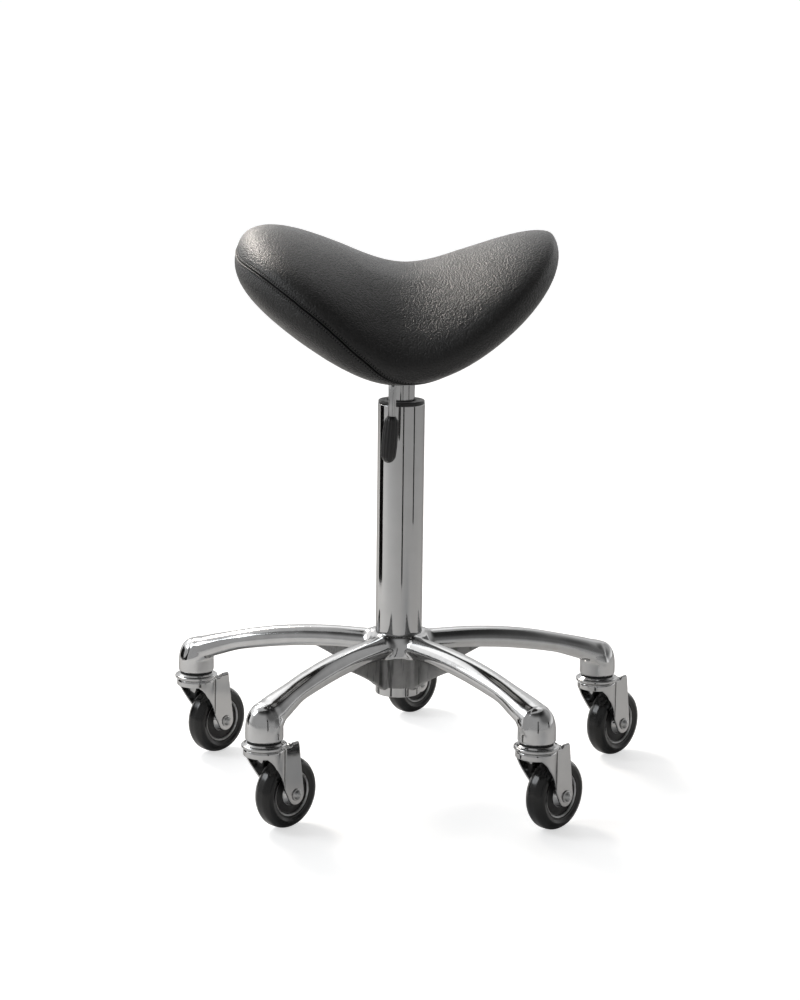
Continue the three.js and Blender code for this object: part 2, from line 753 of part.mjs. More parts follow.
function leverRod() {
  const { pivotY, pivotZ, pinRadius, rodRadius, gripTop, gripFoot } = LEVER;
  const { bossRadius, bossHalfWidth, tongueWidth, tongueHeight, tongueEnd } = LEVER;
  const inGrip = gripTop.clone().lerp(gripFoot, LEVER.rodInGrip);
  const route = new THREE.CatmullRomCurve3([
    new THREE.Vector3(0, pivotY - 3, pivotZ - 0.5),
    new THREE.Vector3(-2, -45, 473),
    new THREE.Vector3(-7, -74, 465),
    new THREE.Vector3(-10, -87, 452),
    new THREE.Vector3(-11, -90, 436),
    gripTop,
    inGrip,
  ]);
  const section = new THREE.Shape();
  section.absarc(0, 0, rodRadius, 0, 2 * Math.PI, false);
  const bar = new THREE.ExtrudeGeometry(section, {
    steps: 14,
    extrudePath: route,
    bevelEnabled: false,
    curveSegments: 4,
  });
  const boss = rod(bossRadius, -bossHalfWidth, bossHalfWidth, FACETS.small).rotateY(Math.PI / 2);
  boss.translate(0, pivotY, pivotZ);
  const tongueZ = LIFT.valveTop + 0.5 + tongueHeight / 2;
  const tongueY = (pivotY + tongueEnd) / 2;
  const tongue = block(tongueWidth, tongueEnd - pivotY, tongueHeight, 0, tongueY, tongueZ);
  const pinHole = rod(pinRadius + GAP, -20, 20, FACETS.small).rotateY(Math.PI / 2);
  pinHole.translate(0, pivotY, pivotZ);
  return cut(join(bar, boss, tongue), pinHole);
}

// Tapered handle with a rounded foot, pushed over the lower end of the rod.
function leverGrip() {
  const { gripRadius: r, rodRadius, gripTop, gripFoot } = LEVER;
  const axis = gripFoot.clone().sub(gripTop);
  const length = axis.length();
  const bore = rodRadius + GAP;
  const boreEnd = length * LEVER.rodInGrip + 1;
  const grip = turned(
    [
      [bore, 0], [r - 1, 0], [r, length * 0.5], [r - 0.4, length - 8], [r - 3, length - 2],
      [0, length], [0, boreEnd], [bore, boreEnd], [bore, 0],
    ],
    FACETS.small,
  );
  const upright = new THREE.Vector3(0, 0, 1);
  const lean = new THREE.Quaternion().setFromUnitVectors(upright, axis.normalize());
  return grip.applyQuaternion(lean).translate(gripTop.x, gripTop.y, gripTop.z);
}

function buildLever(group) {
  part("lever_rod", leverRod(), chrome, group);
  part("lever_grip", leverGrip(), blackPlastic, group);
  const { pinRadius, pinHalfLength, pivotY, pivotZ } = LEVER;
  const pin = rod(pinRadius, -pinHalfLength, pinHalfLength, FACETS.small).rotateY(Math.PI / 2);
  part("lever_pin", pin.translate(0, pivotY, pivotZ), zincSteel, group);
}

// ---------------------------------------------------------------- the stool

const stool = new THREE.Group();
part("base_star", baseStar(), polishedAluminium, stool);
buildLift(stool);
buildCasters(stool);
buildSeat(stool);
buildLever(stool);

const footprint = new THREE.Box3().setFromObject(stool, true);
const middle = footprint.getCenter(new THREE.Vector3());
stool.position.set(-middle.x, -middle.y, -footprint.min.z);

export default stool;
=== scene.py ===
# The looks of the saddle stool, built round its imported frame. Shapes are worked out in millimetres
# about the column's axis, with the floor at z = 0, and placed in the frame in metres.
import itertools
import json
import math

import bmesh
import bpy
import numpy as np
from mathutils import Matrix, Vector
from mathutils.kdtree import KDTree


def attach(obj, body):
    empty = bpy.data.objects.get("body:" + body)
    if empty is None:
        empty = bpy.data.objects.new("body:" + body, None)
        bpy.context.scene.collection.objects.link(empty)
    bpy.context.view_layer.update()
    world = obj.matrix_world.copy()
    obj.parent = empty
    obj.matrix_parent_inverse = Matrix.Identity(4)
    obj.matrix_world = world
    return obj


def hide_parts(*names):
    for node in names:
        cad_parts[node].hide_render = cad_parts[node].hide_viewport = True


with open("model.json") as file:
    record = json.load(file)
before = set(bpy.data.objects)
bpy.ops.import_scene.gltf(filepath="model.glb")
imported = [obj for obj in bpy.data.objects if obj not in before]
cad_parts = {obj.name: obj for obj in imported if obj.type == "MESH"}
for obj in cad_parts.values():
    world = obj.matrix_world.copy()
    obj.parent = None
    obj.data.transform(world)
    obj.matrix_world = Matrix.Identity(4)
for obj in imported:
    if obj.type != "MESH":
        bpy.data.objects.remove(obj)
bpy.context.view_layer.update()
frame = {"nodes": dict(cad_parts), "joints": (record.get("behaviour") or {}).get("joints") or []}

MM = 0.001
JOINTS = {joint["name"]: joint for joint in frame["joints"]}
COLUMN = Vector((*JOINTS["seat_swivel"]["pos_m"][:2], 0))
ARMS = 5
SOCKET_CIRCLE = (Vector(JOINTS["caster_1_swivel"]["pos_m"][:2]) - COLUMN.xy).length / MM
WHEEL_RADIUS = JOINTS["caster_1_roll"]["pos_m"][2] / MM
TRAILING = Vector(JOINTS["caster_1_roll"]["pos_m"][:2]) - Vector(JOINTS["caster_1_swivel"]["pos_m"][:2])
TRAIL = TRAILING.length / MM
HEADING = math.atan2(TRAILING.y, TRAILING.x)

# ---------------------------------------------------------------- camera


def place_camera():
    """The side view: just above the seat, a little behind the column, looking slightly down."""
    offset_x, distance, height = -47.3, 2670.6, 854.8
    pan, pitch, roll = (math.radians(angle) for angle in (1.008, 11.537, 0.723))
    data = bpy.data.cameras.new("camera")
    data.lens = 91.64
    data.sensor_width = 36
    camera = bpy.data.objects.new("camera", data)
    bpy.context.scene.collection.objects.link(camera)
    turn = Matrix.Rotation(-pan, 4, "Z") @ Matrix.Rotation(math.pi / 2 - pitch, 4, "X")
    turn = turn @ Matrix.Rotation(roll, 4, "Z")
    place = Matrix.Translation(COLUMN + Vector((offset_x, -distance, height)) * MM)
    camera.matrix_world = place @ turn
    bpy.context.scene.camera = camera


# ---------------------------------------------------------------- mesh helpers


def new_object(name, points, faces, normals=None, place=None):
    """A smooth mesh object from points in millimetres, set on the column's axis or at place."""
    mesh = bpy.data.meshes.new(name)
    mesh.from_pydata((np.asarray(points) * MM).tolist(), [], faces)
    mesh.shade_smooth()
    if normals is not None:
        mesh.normals_split_custom_set_from_vertices(np.asarray(normals).tolist())
    thing = bpy.data.objects.new(name, mesh)
    bpy.context.scene.collection.objects.link(thing)
    thing.matrix_world = place if place is not None else Matrix.Translation(COLUMN)
    return thing


def read_all(items, key, width=3, kind=float):
    """One value, or one row of width values, of every vertex, face or corner of a mesh."""
    values = np.zeros(len(items) * width, kind)
    items.foreach_get(key, values)
    return values.reshape(-1, width) if width > 1 else values


def mesh_points(mesh):
    return read_all(mesh.vertices, "co") / MM


def copy_object(name, source, place):
    thing = bpy.data.objects.new(name, source.data)
    bpy.context.scene.collection.objects.link(thing)
    thing.matrix_world = place
    return thing


def filleted(corners, closed, steps=6):
    """A profile with each (radius, height, fillet) corner rounded by an arc."""
    points = [Vector(corner[:2]) for corner in corners]
    made = []
    for i, corner in enumerate(corners):
        fillet = corner[2] if len(corner) > 2 else 0
        if fillet == 0 or (not closed and i in (0, len(corners) - 1)):
            made.append(points[i])
            continue
        back = points[i - 1] - points[i]
        on = points[(i + 1) % len(points)] - points[i]
        half = back.angle(on) / 2
        reach = min(fillet / math.tan(half), back.length * 0.48, on.length * 0.48)
        start, end = points[i] + back.normalized() * reach, points[i] + on.normalized() * reach
        middle = points[i] + (back.normalized() + on.normalized()).normalized() * (reach / math.cos(half))
        first, last = start - middle, end - middle
        sweep = math.atan2(first.x * last.y - first.y * last.x, first.dot(last))
        for step in range(steps + 1):
            turn = Matrix.Rotation(sweep * step / steps, 2)
            made.append(middle + turn @ first)
    return np.array([tuple(point) for point in made])


def turned(name, corners, segments=96, closed=True, place=None):
    """A profile turned round Z. An open profile starts and ends on the axis."""
    profile = filleted(corners, closed)
    ahead = np.roll(profile, -1, 0) - profile
    behind = profile - np.roll(profile, 1, 0)
    if not closed:
        ahead[-1] = behind[-1]
        behind[0] = ahead[0]
    slope = ahead + behind
    out = np.stack([slope[:, 1], -slope[:, 0]], 1)
    out /= np.linalg.norm(out, axis=1, keepdims=True) + 1e-12
    following = np.roll(profile, -1, 0)
    area = np.sum(profile[:, 0] * following[:, 1] - following[:, 0] * profile[:, 1])
    if area < 0:
        out = -out
    angles = np.linspace(0, 2 * math.pi, segments, endpoint=False)
    spin = np.stack([np.cos(angles), np.sin(angles)], 1)
    points, normals, faces = [], [], []
    for (radius, height), (nr, nz) in zip(profile, out):
        points += [(radius * c, radius * s, height) for c, s in spin]
        normals += [(nr * c, nr * s, nz) for c, s in spin]
    count = len(profile)
    for i in range(count if closed else count - 1):
        a, b = i * segments, ((i + 1) % count) * segments
        for k in range(segments):
            m = (k + 1) % segments
            face = (a + k, a + m, b + m, b + k)
            faces.append(face if area > 0 else face[::-1])
    thing = new_object(name, points, faces, normals, place)
    if not closed:
        weld(thing)
    return thing


def weld(thing, distance=1e-6):
    """Merges the points that meet on the axis of a turned piece."""
    work = bmesh.new()
    work.from_mesh(thing.data)
    bmesh.ops.remove_doubles(work, verts=work.verts, dist=distance)
    bmesh.ops.dissolve_degenerate(work, edges=work.edges, dist=distance)
    work.to_mesh(thing.data)
    work.free()
    thing.data.shade_smooth()


def ring_faces(rings, segments):
    """Quads between rings of points that follow one another."""
    faces = []
    for i in range(rings - 1):
        a, b = i * segments, (i + 1) * segments
        faces += [(a + k, a + (k + 1) % segments, b + (k + 1) % segments, b + k) for k in range(segments)]
    return faces


def curve_through(knots, count):
    """Points spaced along a smooth curve through the knots."""
    knots = [Vector(knot) for knot in knots]
    knots = [2 * knots[0] - knots[1], *knots, 2 * knots[-1] - knots[-2]]
    spans = len(knots) - 3
    made = []
    for step in range(count):
        whole = min(int(step * spans / (count - 1)), spans - 1)
        t = step * spans / (count - 1) - whole
        p0, p1, p2, p3 = knots[whole : whole + 4]
        made.append(
            0.5 * (2 * p1 + (p2 - p0) * t + (2 * p0 - 5 * p1 + 4 * p2 - p3) * t * t
                   + (3 * p1 - p0 - 3 * p2 + p3) * t ** 3)
        )
    return made


def swept(name, path, radius_at, sides=20):
    """A tube of changing radius along a path of points, closed by a point at each end."""
    count = len(path)
    points = []
    across = None
    for i, point in enumerate(path):
        along = (path[min(i + 1, count - 1)] - path[max(i - 1, 0)]).normalized()
        across = along.orthogonal() if across is None else across - along * across.dot(along)
        across.normalize()
        other = along.cross(across)
        for k in range(sides):
            angle = 2 * math.pi * k / sides
            radius = radius_at(i / (count - 1), angle)
            points.append(point + (across * math.cos(angle) + other * math.sin(angle)) * radius)
    faces = ring_faces(count, sides)
    points += [path[0], path[-1]]
    first, last = len(points) - 2, len(points) - 1
    base = (count - 1) * sides
    faces += [(first, (k + 1) % sides, k) for k in range(sides)]
    faces += [(last, base + k, base + (k + 1) % sides) for k in range(sides)]
    return new_object(name, [tuple(point) for point in points], faces)


# ---------------------------------------------------------------- shapes from distance fields


def ease(value, start, stretch):
    """0 before the start and 1 after the stretch, with a smooth step between them."""
    share = np.clip((value - start) / stretch, 0, 1)
    return share * share * (3 - 2 * share)


def smooth_min(a, b, blend):
    share = np.clip(0.5 + 0.5 * (b - a) / blend, 0, 1)
    return b * (1 - share) + a * share - blend * share * (1 - share)


def smooth_max(a, b, blend):
    return -smooth_min(-a, -b, blend)


def rounded_inside(distances, blend):
    """The region inside every one of several surfaces, with its edges rounded."""
    top = np.max(distances, 0)
    return top + blend * np.log(sum(np.exp((d - top) / blend) for d in distances))


def field_gradient(field, points, step=0.05):
    made = []
    for axis in range(3):
        nudge = np.zeros(3)
        nudge[axis] = step
        made.append((field(points + nudge) - field(points - nudge)) / (2 * step))
    return np.stack(made, 1)


def onto_surface(field, points, limit):
    """One step of each point towards the surface where the field is zero."""
    slope = field_gradient(field, points)
    move = field(points)[:, None] * slope / (np.sum(slope * slope, 1)[:, None] + 1e-9)
    length = np.linalg.norm(move, axis=1, keepdims=True)
    return points - move * np.minimum(1, limit / (length + 1e-9))


def surface_of(name, field, low, high, step, place=None):
    """An even mesh of the surface where the field is zero, with the field's own normals."""
    axes = [np.arange(a, b + step, step) for a, b in zip(low, high)]
    grid = np.stack(np.meshgrid(*axes, indexing="ij"), -1)
    shape = grid.shape[:3]
    inside = (field(grid.reshape(-1, 3)) < 0).reshape(shape)
    cells = tuple(n - 1 for n in shape)
    filled = np.zeros(cells, int)
    for shift in itertools.product((0, 1), repeat=3):
        filled += inside[tuple(slice(s, s + n) for s, n in zip(shift, cells))]
    mixed = (filled > 0) & (filled < 8)
    number = np.full(cells, -1)
    number[mixed] = np.arange(mixed.sum())
    points = np.array(low) + (np.argwhere(mixed) + 0.5) * step
    quads = []
    for axis in range(3):
        u, v = [other for other in range(3) if other != axis]
        first = np.take(inside, range(shape[axis] - 1), axis)
        second = np.take(inside, range(1, shape[axis]), axis)
        spots = np.argwhere(first != second)
        inner = (spots[:, [u, v]] > 0) & (spots[:, [u, v]] < (cells[u], cells[v]))
        spots = spots[inner.all(1)]
        corners = []
        for du, dv in ((-1, -1), (0, -1), (0, 0), (-1, 0)):
            corner = spots.copy()
            corner[:, u] += du
            corner[:, v] += dv
            corners.append(number[tuple(corner.T)])
        quad = np.stack(corners, 1)
        leaving = first[tuple(spots.T)]
        flip = leaving if axis == 1 else ~leaving
        quad[flip] = quad[flip][:, ::-1]
        quads.append(quad)
    faces = np.concatenate(quads)
    ends = np.concatenate([faces[:, [k, (k + 1) % 4]] for k in range(4)])
    degree = np.bincount(ends[:, 0], minlength=len(points))[:, None]
    for _ in range(6):
        total = np.zeros_like(points)
        np.add.at(total, ends[:, 0], points[ends[:, 1]])
        points = onto_surface(field, 0.5 * points + 0.5 * total / degree, step)
    for _ in range(3):
        points = onto_surface(field, points, step)
    normals = field_gradient(field, points)
    normals /= np.linalg.norm(normals, axis=1, keepdims=True)
    return new_object(name, points, faces.tolist(), normals, place)


# ---------------------------------------------------------------- materials


class Finish:
    """A procedural material on the Principled shader."""

    def __init__(self, name, **constants):
        self.material = bpy.data.materials.new(name)
        self.material.use_nodes = True
        self.tree = self.material.node_tree
        self.shader = self.tree.nodes["Principled BSDF"]
        for key, value in constants.items():
            self.shader.inputs[key.replace("_", " ")].default_value = value
        self.place = self.node("ShaderNodeTexCoord").outputs["Object"]

    def node(self, kind, inputs=None, **settings):
        made = self.tree.nodes.new(kind)
        for key, value in settings.items():
            setattr(made, key, value)
        for key, value in (inputs or {}).items():
            if isinstance(value, bpy.types.NodeSocket):
                self.tree.links.new(value, made.inputs[key])
            else:
                made.inputs[key].default_value = value
        return made

    def stretched(self, scale):
        return self.node("ShaderNodeMapping", {"Vector": self.place, "Scale": scale}).outputs["Vector"]

    def noise(self, scale, detail=3, roughness=0.5, vector=None, distortion=0):
        inputs = {"Vector": vector or self.place, "Scale": scale, "Detail": detail}
        inputs.update({"Roughness": roughness, "Distortion": distortion})
        return self.node("ShaderNodeTexNoise", inputs).outputs["Fac"]

    def cells(self, scale, feature="F1", vector=None):
        inputs = {"Vector": vector or self.place, "Scale": scale}
        return self.node("ShaderNodeTexVoronoi", inputs, feature=feature).outputs["Distance"]

    def spread(self, value, low, high, start=0.3, end=0.7):
        """A value between start and end, spread over low to high."""
        inputs = {"Value": value, "From Min": start, "From Max": end, "To Min": low, "To Max": high}
        return self.node("ShaderNodeMapRange", inputs).outputs["Result"]

    def sum(self, a, b, operation="ADD"):
        return self.node("ShaderNodeMath", {0: a, 1: b}, operation=operation).outputs[0]

    def mix(self, share, first, second):
        made = self.node("ShaderNodeMix", data_type="RGBA")
        for socket, value in ((made.inputs[0], share), (made.inputs[6], first), (made.inputs[7], second)):
            if isinstance(value, bpy.types.NodeSocket):
                self.tree.links.new(value, socket)
            else:
                socket.default_value = value
        return made.outputs[2]

    def bump(self, height, strength, distance, normal=None):
        inputs = {"Height": height, "Strength": strength, "Distance": distance}
        if normal:
            inputs["Normal"] = normal
        return self.node("ShaderNodeBump", inputs).outputs["Normal"]

    def give(self, key, value):
        self.tree.links.new(value, self.shader.inputs[key])

    def on(self, *things):
        for thing in things:
            thing.data.materials.clear()
            thing.data.materials.append(self.material)


def grey(value, warm=0.0):
    return (value * (1 + warm), value, value * (1 - warm), 1)


def leatherette():
    """Pebble-grained black cover: rounded pebbles between fine creases, shinier on the pebbles, with
    needle holes in two rows along the seam. The holes and the seam's groove carry painted shade:
    their colour is darkened to near black."""
    skin = Finish("leatherette", Specular_IOR_Level=0.48)
    wander = {"Vector": skin.place, "Scale": 300.0, "Detail": 1.0}
    drift = skin.node("ShaderNodeTexNoise", wander).outputs["Color"]
    bend = skin.node("ShaderNodeVectorMath", {0: drift, "Scale": 0.0009}, operation="SCALE").outputs[0]
    place = skin.node("ShaderNodeVectorMath", {0: skin.place, 1: bend}, operation="ADD").outputs[0]
    pebbles = skin.spread(skin.cells(600.0, "SMOOTH_F1", place), 1.0, 0.0, 0.0, 0.75)
    small = skin.spread(skin.cells(1300.0, "SMOOTH_F1", place), 1.0, 0.0, 0.0, 0.8)
    pores = skin.noise(3200.0, 2, 0.6)
    grain = skin.sum(skin.sum(pebbles, skin.sum(small, 0.35, "MULTIPLY")), skin.sum(pores, 0.15, "MULTIPLY"))
    offset = skin.node("ShaderNodeAttribute", attribute_name="seam_offset").outputs["Fac"]
    run = skin.node("ShaderNodeAttribute", attribute_name="seam_run").outputs["Fac"]
    off_row = skin.sum(skin.sum(skin.sum(offset, 0, "ABSOLUTE"), STITCH_OFFSET, "SUBTRACT"), 0, "ABSOLUTE")
    near_row = skin.spread(off_row, 1.0, 0.0, 0.8, 1.2)
    wave = skin.sum(skin.sum(run, 2 * math.pi, "MULTIPLY"), 0, "COSINE")
    holes = skin.sum(near_row, skin.spread(wave, 1.0, 0.0, -0.2, 0.3), "MULTIPLY")
    fold = skin.spread(skin.sum(offset, 0, "ABSOLUTE"), 1.0, 0.0, 0.3, 0.9)
    soft = skin.noise(15.0, 1, 0.5)
    relief = skin.bump(grain, 1.0, 0.0006, skin.bump(soft, 0.1, 0.002))
    skin.give("Normal", skin.bump(holes, -1.0, 0.0009, relief))
    tone = skin.mix(skin.spread(pebbles, 0.0, 1.0, 0.1, 0.8), grey(0.006, 0.03), grey(0.013, 0.02))
    tone = skin.mix(skin.spread(soft, 0.0, 0.3), tone, grey(0.022, 0.04))
    # Painted shade: the needle holes and the seam's groove are darkened to near black, and made rougher.
    dark = skin.sum(holes, fold, "MAXIMUM")
    skin.give("Base Color", skin.mix(dark, tone, grey(0.001)))
    rough = skin.sum(skin.spread(pebbles, 0.46, 0.32, 0.1, 0.8), skin.spread(soft, -0.03, 0.04))
    skin.give("Roughness", skin.sum(rough, skin.sum(dark, 0.6, "MULTIPLY")))
    return skin


def polished_aluminium():
    """Hand-polished casting: mirror bright, with slight waves, cloudy patches and hairlines."""
    metal = Finish("polished_aluminium", Metallic=1.0, Specular_Tint=grey(0.45))
    clouds = metal.noise(55.0, 4, 0.6)
    lines = metal.noise(260.0, 3, 0.6, metal.stretched((1, 1, 9)))
    metal.give("Base Color", metal.mix(metal.spread(clouds, 0.0, 1.0), grey(0.62, 0.004), grey(0.7, -0.004)))
    hidden = metal.node("ShaderNodeAttribute", attribute_name="unpolished").outputs["Fac"]
    shine = metal.spread(metal.sum(clouds, metal.sum(lines, 0.4, "MULTIPLY")), 0.06, 0.17, 0.4, 1.0)
    metal.give("Roughness", metal.sum(shine, metal.sum(hidden, 0.3, "MULTIPLY")))
    waves = metal.bump(metal.noise(34.0, 2, 0.4), 0.3, 0.0009)
    metal.give("Normal", metal.bump(lines, 0.03, 0.0002, waves))
    return metal


def raw_casting():
    """The casting's unpolished hollows: dull, sandy and dark."""
    metal = Finish("raw_casting", Metallic=0.85, Specular_IOR_Level=0.4)
    sand = metal.noise(900.0, 4, 0.7)
    patches = metal.noise(60.0, 3, 0.6)
    streaks = metal.noise(170.0, 3, 0.6, metal.stretched((1, 1, 0.12)))
    tone = metal.mix(metal.spread(patches, 0.0, 1.0), grey(0.26, 0.0), grey(0.36, 0.01))
    metal.give("Base Color", metal.mix(metal.spread(streaks, 0.0, 1.0, 0.52, 0.66), tone, grey(0.13)))
    metal.give("Roughness", metal.spread(sand, 0.42, 0.62))
    metal.give("Normal", metal.bump(sand, 0.35, 0.0006, metal.bump(patches, 0.4, 0.001)))
    return metal


def chrome():
    """Bright plate over steel: near mirror, with faint draw lines and finger haze."""
    shade, haze = 0.56, 0.03
    metal = Finish("chrome", Metallic=1.0, Specular_Tint=grey(0.5))
    haze_map = metal.noise(38.0, 4, 0.6)
    draw = metal.noise(420.0, 2, 0.5, metal.stretched((1, 1, 0.03)))
    metal.give("Base Color", metal.mix(metal.spread(haze_map, 0.0, 1.0), grey(shade), grey(shade * 1.08)))
    metal.give("Roughness", metal.spread(haze_map, haze, haze + 0.06))
    metal.give("Normal", metal.bump(draw, 0.035, 0.0002, metal.bump(metal.noise(26.0, 1), 0.08, 0.0008)))
    return metal


def zinc_steel():
    """Brushed steel under bright zinc, with a faint spangle."""
    metal = Finish("zinc_steel", Metallic=1.0, Specular_IOR_Level=0.5)
    spangle = metal.cells(240.0)
    brush = metal.noise(700.0, 3, 0.6, metal.stretched((1, 0.08, 1)))
    share = metal.spread(spangle, 0.0, 1.0, 0.1, 0.6)
    metal.give("Base Color", metal.mix(share, grey(0.42, 0.01), grey(0.56)))
    metal.give("Roughness", metal.spread(brush, 0.24, 0.42))
    metal.give("Normal", metal.bump(brush, 0.12, 0.0002))
    return metal


def black_moulding(name, shade, low, high, texture):
    """Moulded black plastic or rubber, with a fine texture and a few scuffs."""
    plastic = Finish(name, Specular_IOR_Level=0.5)
    scuffs = plastic.noise(70.0, 5, 0.65, distortion=0.6)
    fine = plastic.noise(1900.0, 2, 0.6)
    plastic.give("Base Color", plastic.mix(plastic.spread(scuffs, 0.0, 1.0), grey(shade), grey(shade * 1.9)))
    plastic.give("Roughness", plastic.spread(scuffs, low, high))
    plastic.give("Normal", plastic.bump(fine, texture, 0.0002, plastic.bump(scuffs, 0.06, 0.001)))
    return plastic


def plywood():
    """Moulded plywood stained black, its grain running along the seat and showing through the lacquer."""
    wood = Finish("black_plywood", Specular_IOR_Level=0.35)
    grain = wood.noise(190.0, 6, 0.62, wood.stretched((0.12, 1, 1)), 0.8)
    pores = wood.noise(1500.0, 2, 0.5, wood.stretched((0.05, 1, 1)))
    tone = wood.mix(wood.spread(grain, 0.0, 1.0), (0.009, 0.008, 0.007, 1), (0.028, 0.024, 0.02, 1))
    wood.give("Base Color", wood.mix(wood.spread(pores, 0.0, 0.4), tone, (0.005, 0.005, 0.005, 1)))
    wood.give("Roughness", wood.spread(grain, 0.5, 0.7))
    wood.give("Normal", wood.bump(pores, 0.25, 0.0003))
    return wood


# ---------------------------------------------------------------- star base


ARM_TOP, ARM_FLAT, ARM_DROOP = 165, 60, 0.000926


def arm_angles():
    return [math.pi / 2 + 2 * math.pi * i / ARMS for i in range(ARMS)]


def arm_ridge(along):
    beyond = np.maximum(0, along - ARM_FLAT)
    return ARM_TOP - ARM_DROOP * beyond * beyond


def arm_frame(points, angle):
    along = points[:, 0] * math.cos(angle) + points[:, 1] * math.sin(angle)
    across = np.abs(points[:, 1] * math.cos(angle) - points[:, 0] * math.sin(angle))
    return along, across


ARM_FLARE = {"start": 130, "stretch": 90, "width": 3.4, "softness": 2.6}
ELBOW = {"start": 178, "stretch": 50, "half_width": 18.4, "middle": 17, "lower_half": 7, "power": 2.3}
SOCKET = {"radius": 19.5, "foot": 99.6, "dome_foot": 107, "dome_rise": 29.6, "power": 2.5}
FUNNEL = {"top": 165.8, "foot": 142.8, "radius": 29, "radius_height": 165.5}


def arm_field(along, side, z):
    """A drooping arm with softly faceted sides, whose section turns round towards its socket."""
    slope = 2 * ARM_DROOP * np.clip(along - ARM_FLAT, 0, SOCKET_CIRCLE)
    up = (z - arm_ridge(along)) / np.sqrt(1 + slope * slope)
    share = ease(along, ARM_FLARE["start"], ARM_FLARE["stretch"])
    across = side - ARM_FLARE["width"] * share
    shoulder = 0.728 * across + 0.685 * up - 4.5
    flank = 0.996 * across - 0.087 * (up + 12) - 15
    tuck = 0.762 * across - 0.648 * up - 22.6
    arm = rounded_inside([up, shoulder, flank, tuck, -up - 22], 1.7 + ARM_FLARE["softness"] * share)
    middle, power = ELBOW["middle"], ELBOW["power"]
    rise = (up + middle) / np.where(up > -middle, middle, ELBOW["lower_half"])
    tube = ((side / ELBOW["half_width"]) ** power + np.abs(rise) ** power) ** (1 / power)
    turn = ease(along, ELBOW["start"], ELBOW["stretch"])
    return rounded_inside([arm + turn * ((tube - 1) * 15 - arm), along - SOCKET_CIRCLE - 1, -along], 0.8)


def socket_field(along, side, z):
    """A round socket under a flattened dome."""
    radius, power = SOCKET["radius"], SOCKET["power"]
    reach = np.hypot(along - SOCKET_CIRCLE, side)
    rise = np.maximum(z - SOCKET["dome_foot"], 0) / SOCKET["dome_rise"]
    dome = ((reach / radius) ** power + rise ** power) ** (1 / power)
    return smooth_max((dome - 1) * radius, SOCKET["foot"] - z, 2.5)


def polished_field(points):
    """Five arms with their sockets, and a funnel round the column."""
    x, y, z = points.T
    arms = None
    for angle in arm_angles():
        along, side = arm_frame(points, angle)
        blend = 3 + 5 * np.clip((124 - z) / 8, 0, 1)
        spoke = smooth_min(arm_field(along, side, z), socket_field(along, side, z), blend)
        arms = spoke if arms is None else smooth_min(arms, spoke, 7)
    cone = 0.94 * (np.hypot(x, y) - FUNNEL["radius"]) + 0.342 * (z - FUNNEL["radius_height"])
    funnel = rounded_inside([z - FUNNEL["top"], cone, FUNNEL["foot"] - z], 1.2)
    return smooth_min(arms, funnel, 8)


def core_field(points):
    """The hub below the arms, with a thin gusset under each."""
    x, y, z = points.T
    radius = np.hypot(x, y)
    hub_radius, foot, top, gusset_reach, half_thickness = 30, 108, 146, 97, 3
    core = rounded_inside([radius - hub_radius, foot - z, z - top], 0.8)
    for angle in arm_angles():
        along, across = arm_frame(points, angle)
        share = (np.sqrt(np.maximum(56 ** 2 + 32 * (along - 32), 0)) - 56) / 16
        edge = foot + 38 * share - 4.2 * share * share
        sides = [across - half_thickness, 0.87 * (edge - z), z - top, along - gusset_reach, 20 - along]
        gusset = rounded_inside(sides, 0.6)
        core = smooth_min(core, gusset, 5)
    return core


def bore(thing, rods):
    """Cuts straight holes, each (x, y, radius, foot, top), and keeps the edges crisp."""
    for x, y, radius, foot, top in rods:
        cutter = turned("cutter", [(0, foot), (radius, foot), (radius, top), (0, top)], 96, closed=False)
        cutter.location += Vector((x, y, 0)) * MM
        cut = thing.modifiers.new("bore", "BOOLEAN")
        cut.operation = "DIFFERENCE"
        cut.solver = "EXACT"
        cut.object = cutter
        bake_modifiers(thing)
        bpy.data.objects.remove(cutter)


def bake_modifiers(thing):
    bpy.context.view_layer.update()
    graph = bpy.context.evaluated_depsgraph_get()
    mesh = bpy.data.meshes.new_from_object(thing.evaluated_get(graph), depsgraph=graph)
    thing.modifiers.clear()
    thing.data = mesh


def field_shading(thing, field):
    """Each corner takes the field's normal, or its face's own where the face is a cut."""
    mesh = thing.data
    cut_depth, cut_turn = 0.2, 0.6
    points = mesh_points(mesh)
    smooth = field_gradient(field, points)
    smooth /= np.linalg.norm(smooth, axis=1, keepdims=True) + 1e-9
    on_surface = np.abs(field(points)) < cut_depth
    corner_vertex = read_all(mesh.loops, "vertex_index", 1, int)
    sizes = read_all(mesh.polygons, "loop_total", 1, int)
    faces = np.repeat(read_all(mesh.polygons, "normal"), sizes, 0)
    corners = smooth[corner_vertex]
    off = (np.sum(corners * faces, 1) < cut_turn) | ~on_surface[corner_vertex]
    corners[off] = faces[off]
    mesh.shade_smooth()
    mesh.normals_split_custom_set(corners.tolist())


def mark_unpolished(thing):
    """The polisher's wheel doesn't reach under the arms or the inner sides of the sockets."""
    mesh = thing.data
    near_socket, socket_edge = 24, 118
    points = mesh_points(mesh)
    normals = read_all(mesh.vertices, "normal")
    under = np.clip((-normals[:, 2] - 0.75) / 0.2, 0, 1)
    inward = np.zeros(len(points))
    for angle in arm_angles():
        along, across = arm_frame(points, angle)
        near = np.hypot(along - SOCKET_CIRCLE, across) < near_socket
        facing = -(normals[:, 0] * math.cos(angle) + normals[:, 1] * math.sin(angle))
        low = np.clip((socket_edge - points[:, 2]) / 3, 0, 1)
        inward = np.maximum(inward, near * np.clip((facing - 0.2) / 0.3, 0, 1) * low)
    layer = mesh.attributes.new("unpolished", "FLOAT", "POINT")
    layer.data.foreach_set("value", np.maximum(under, inward).astype(np.float32))


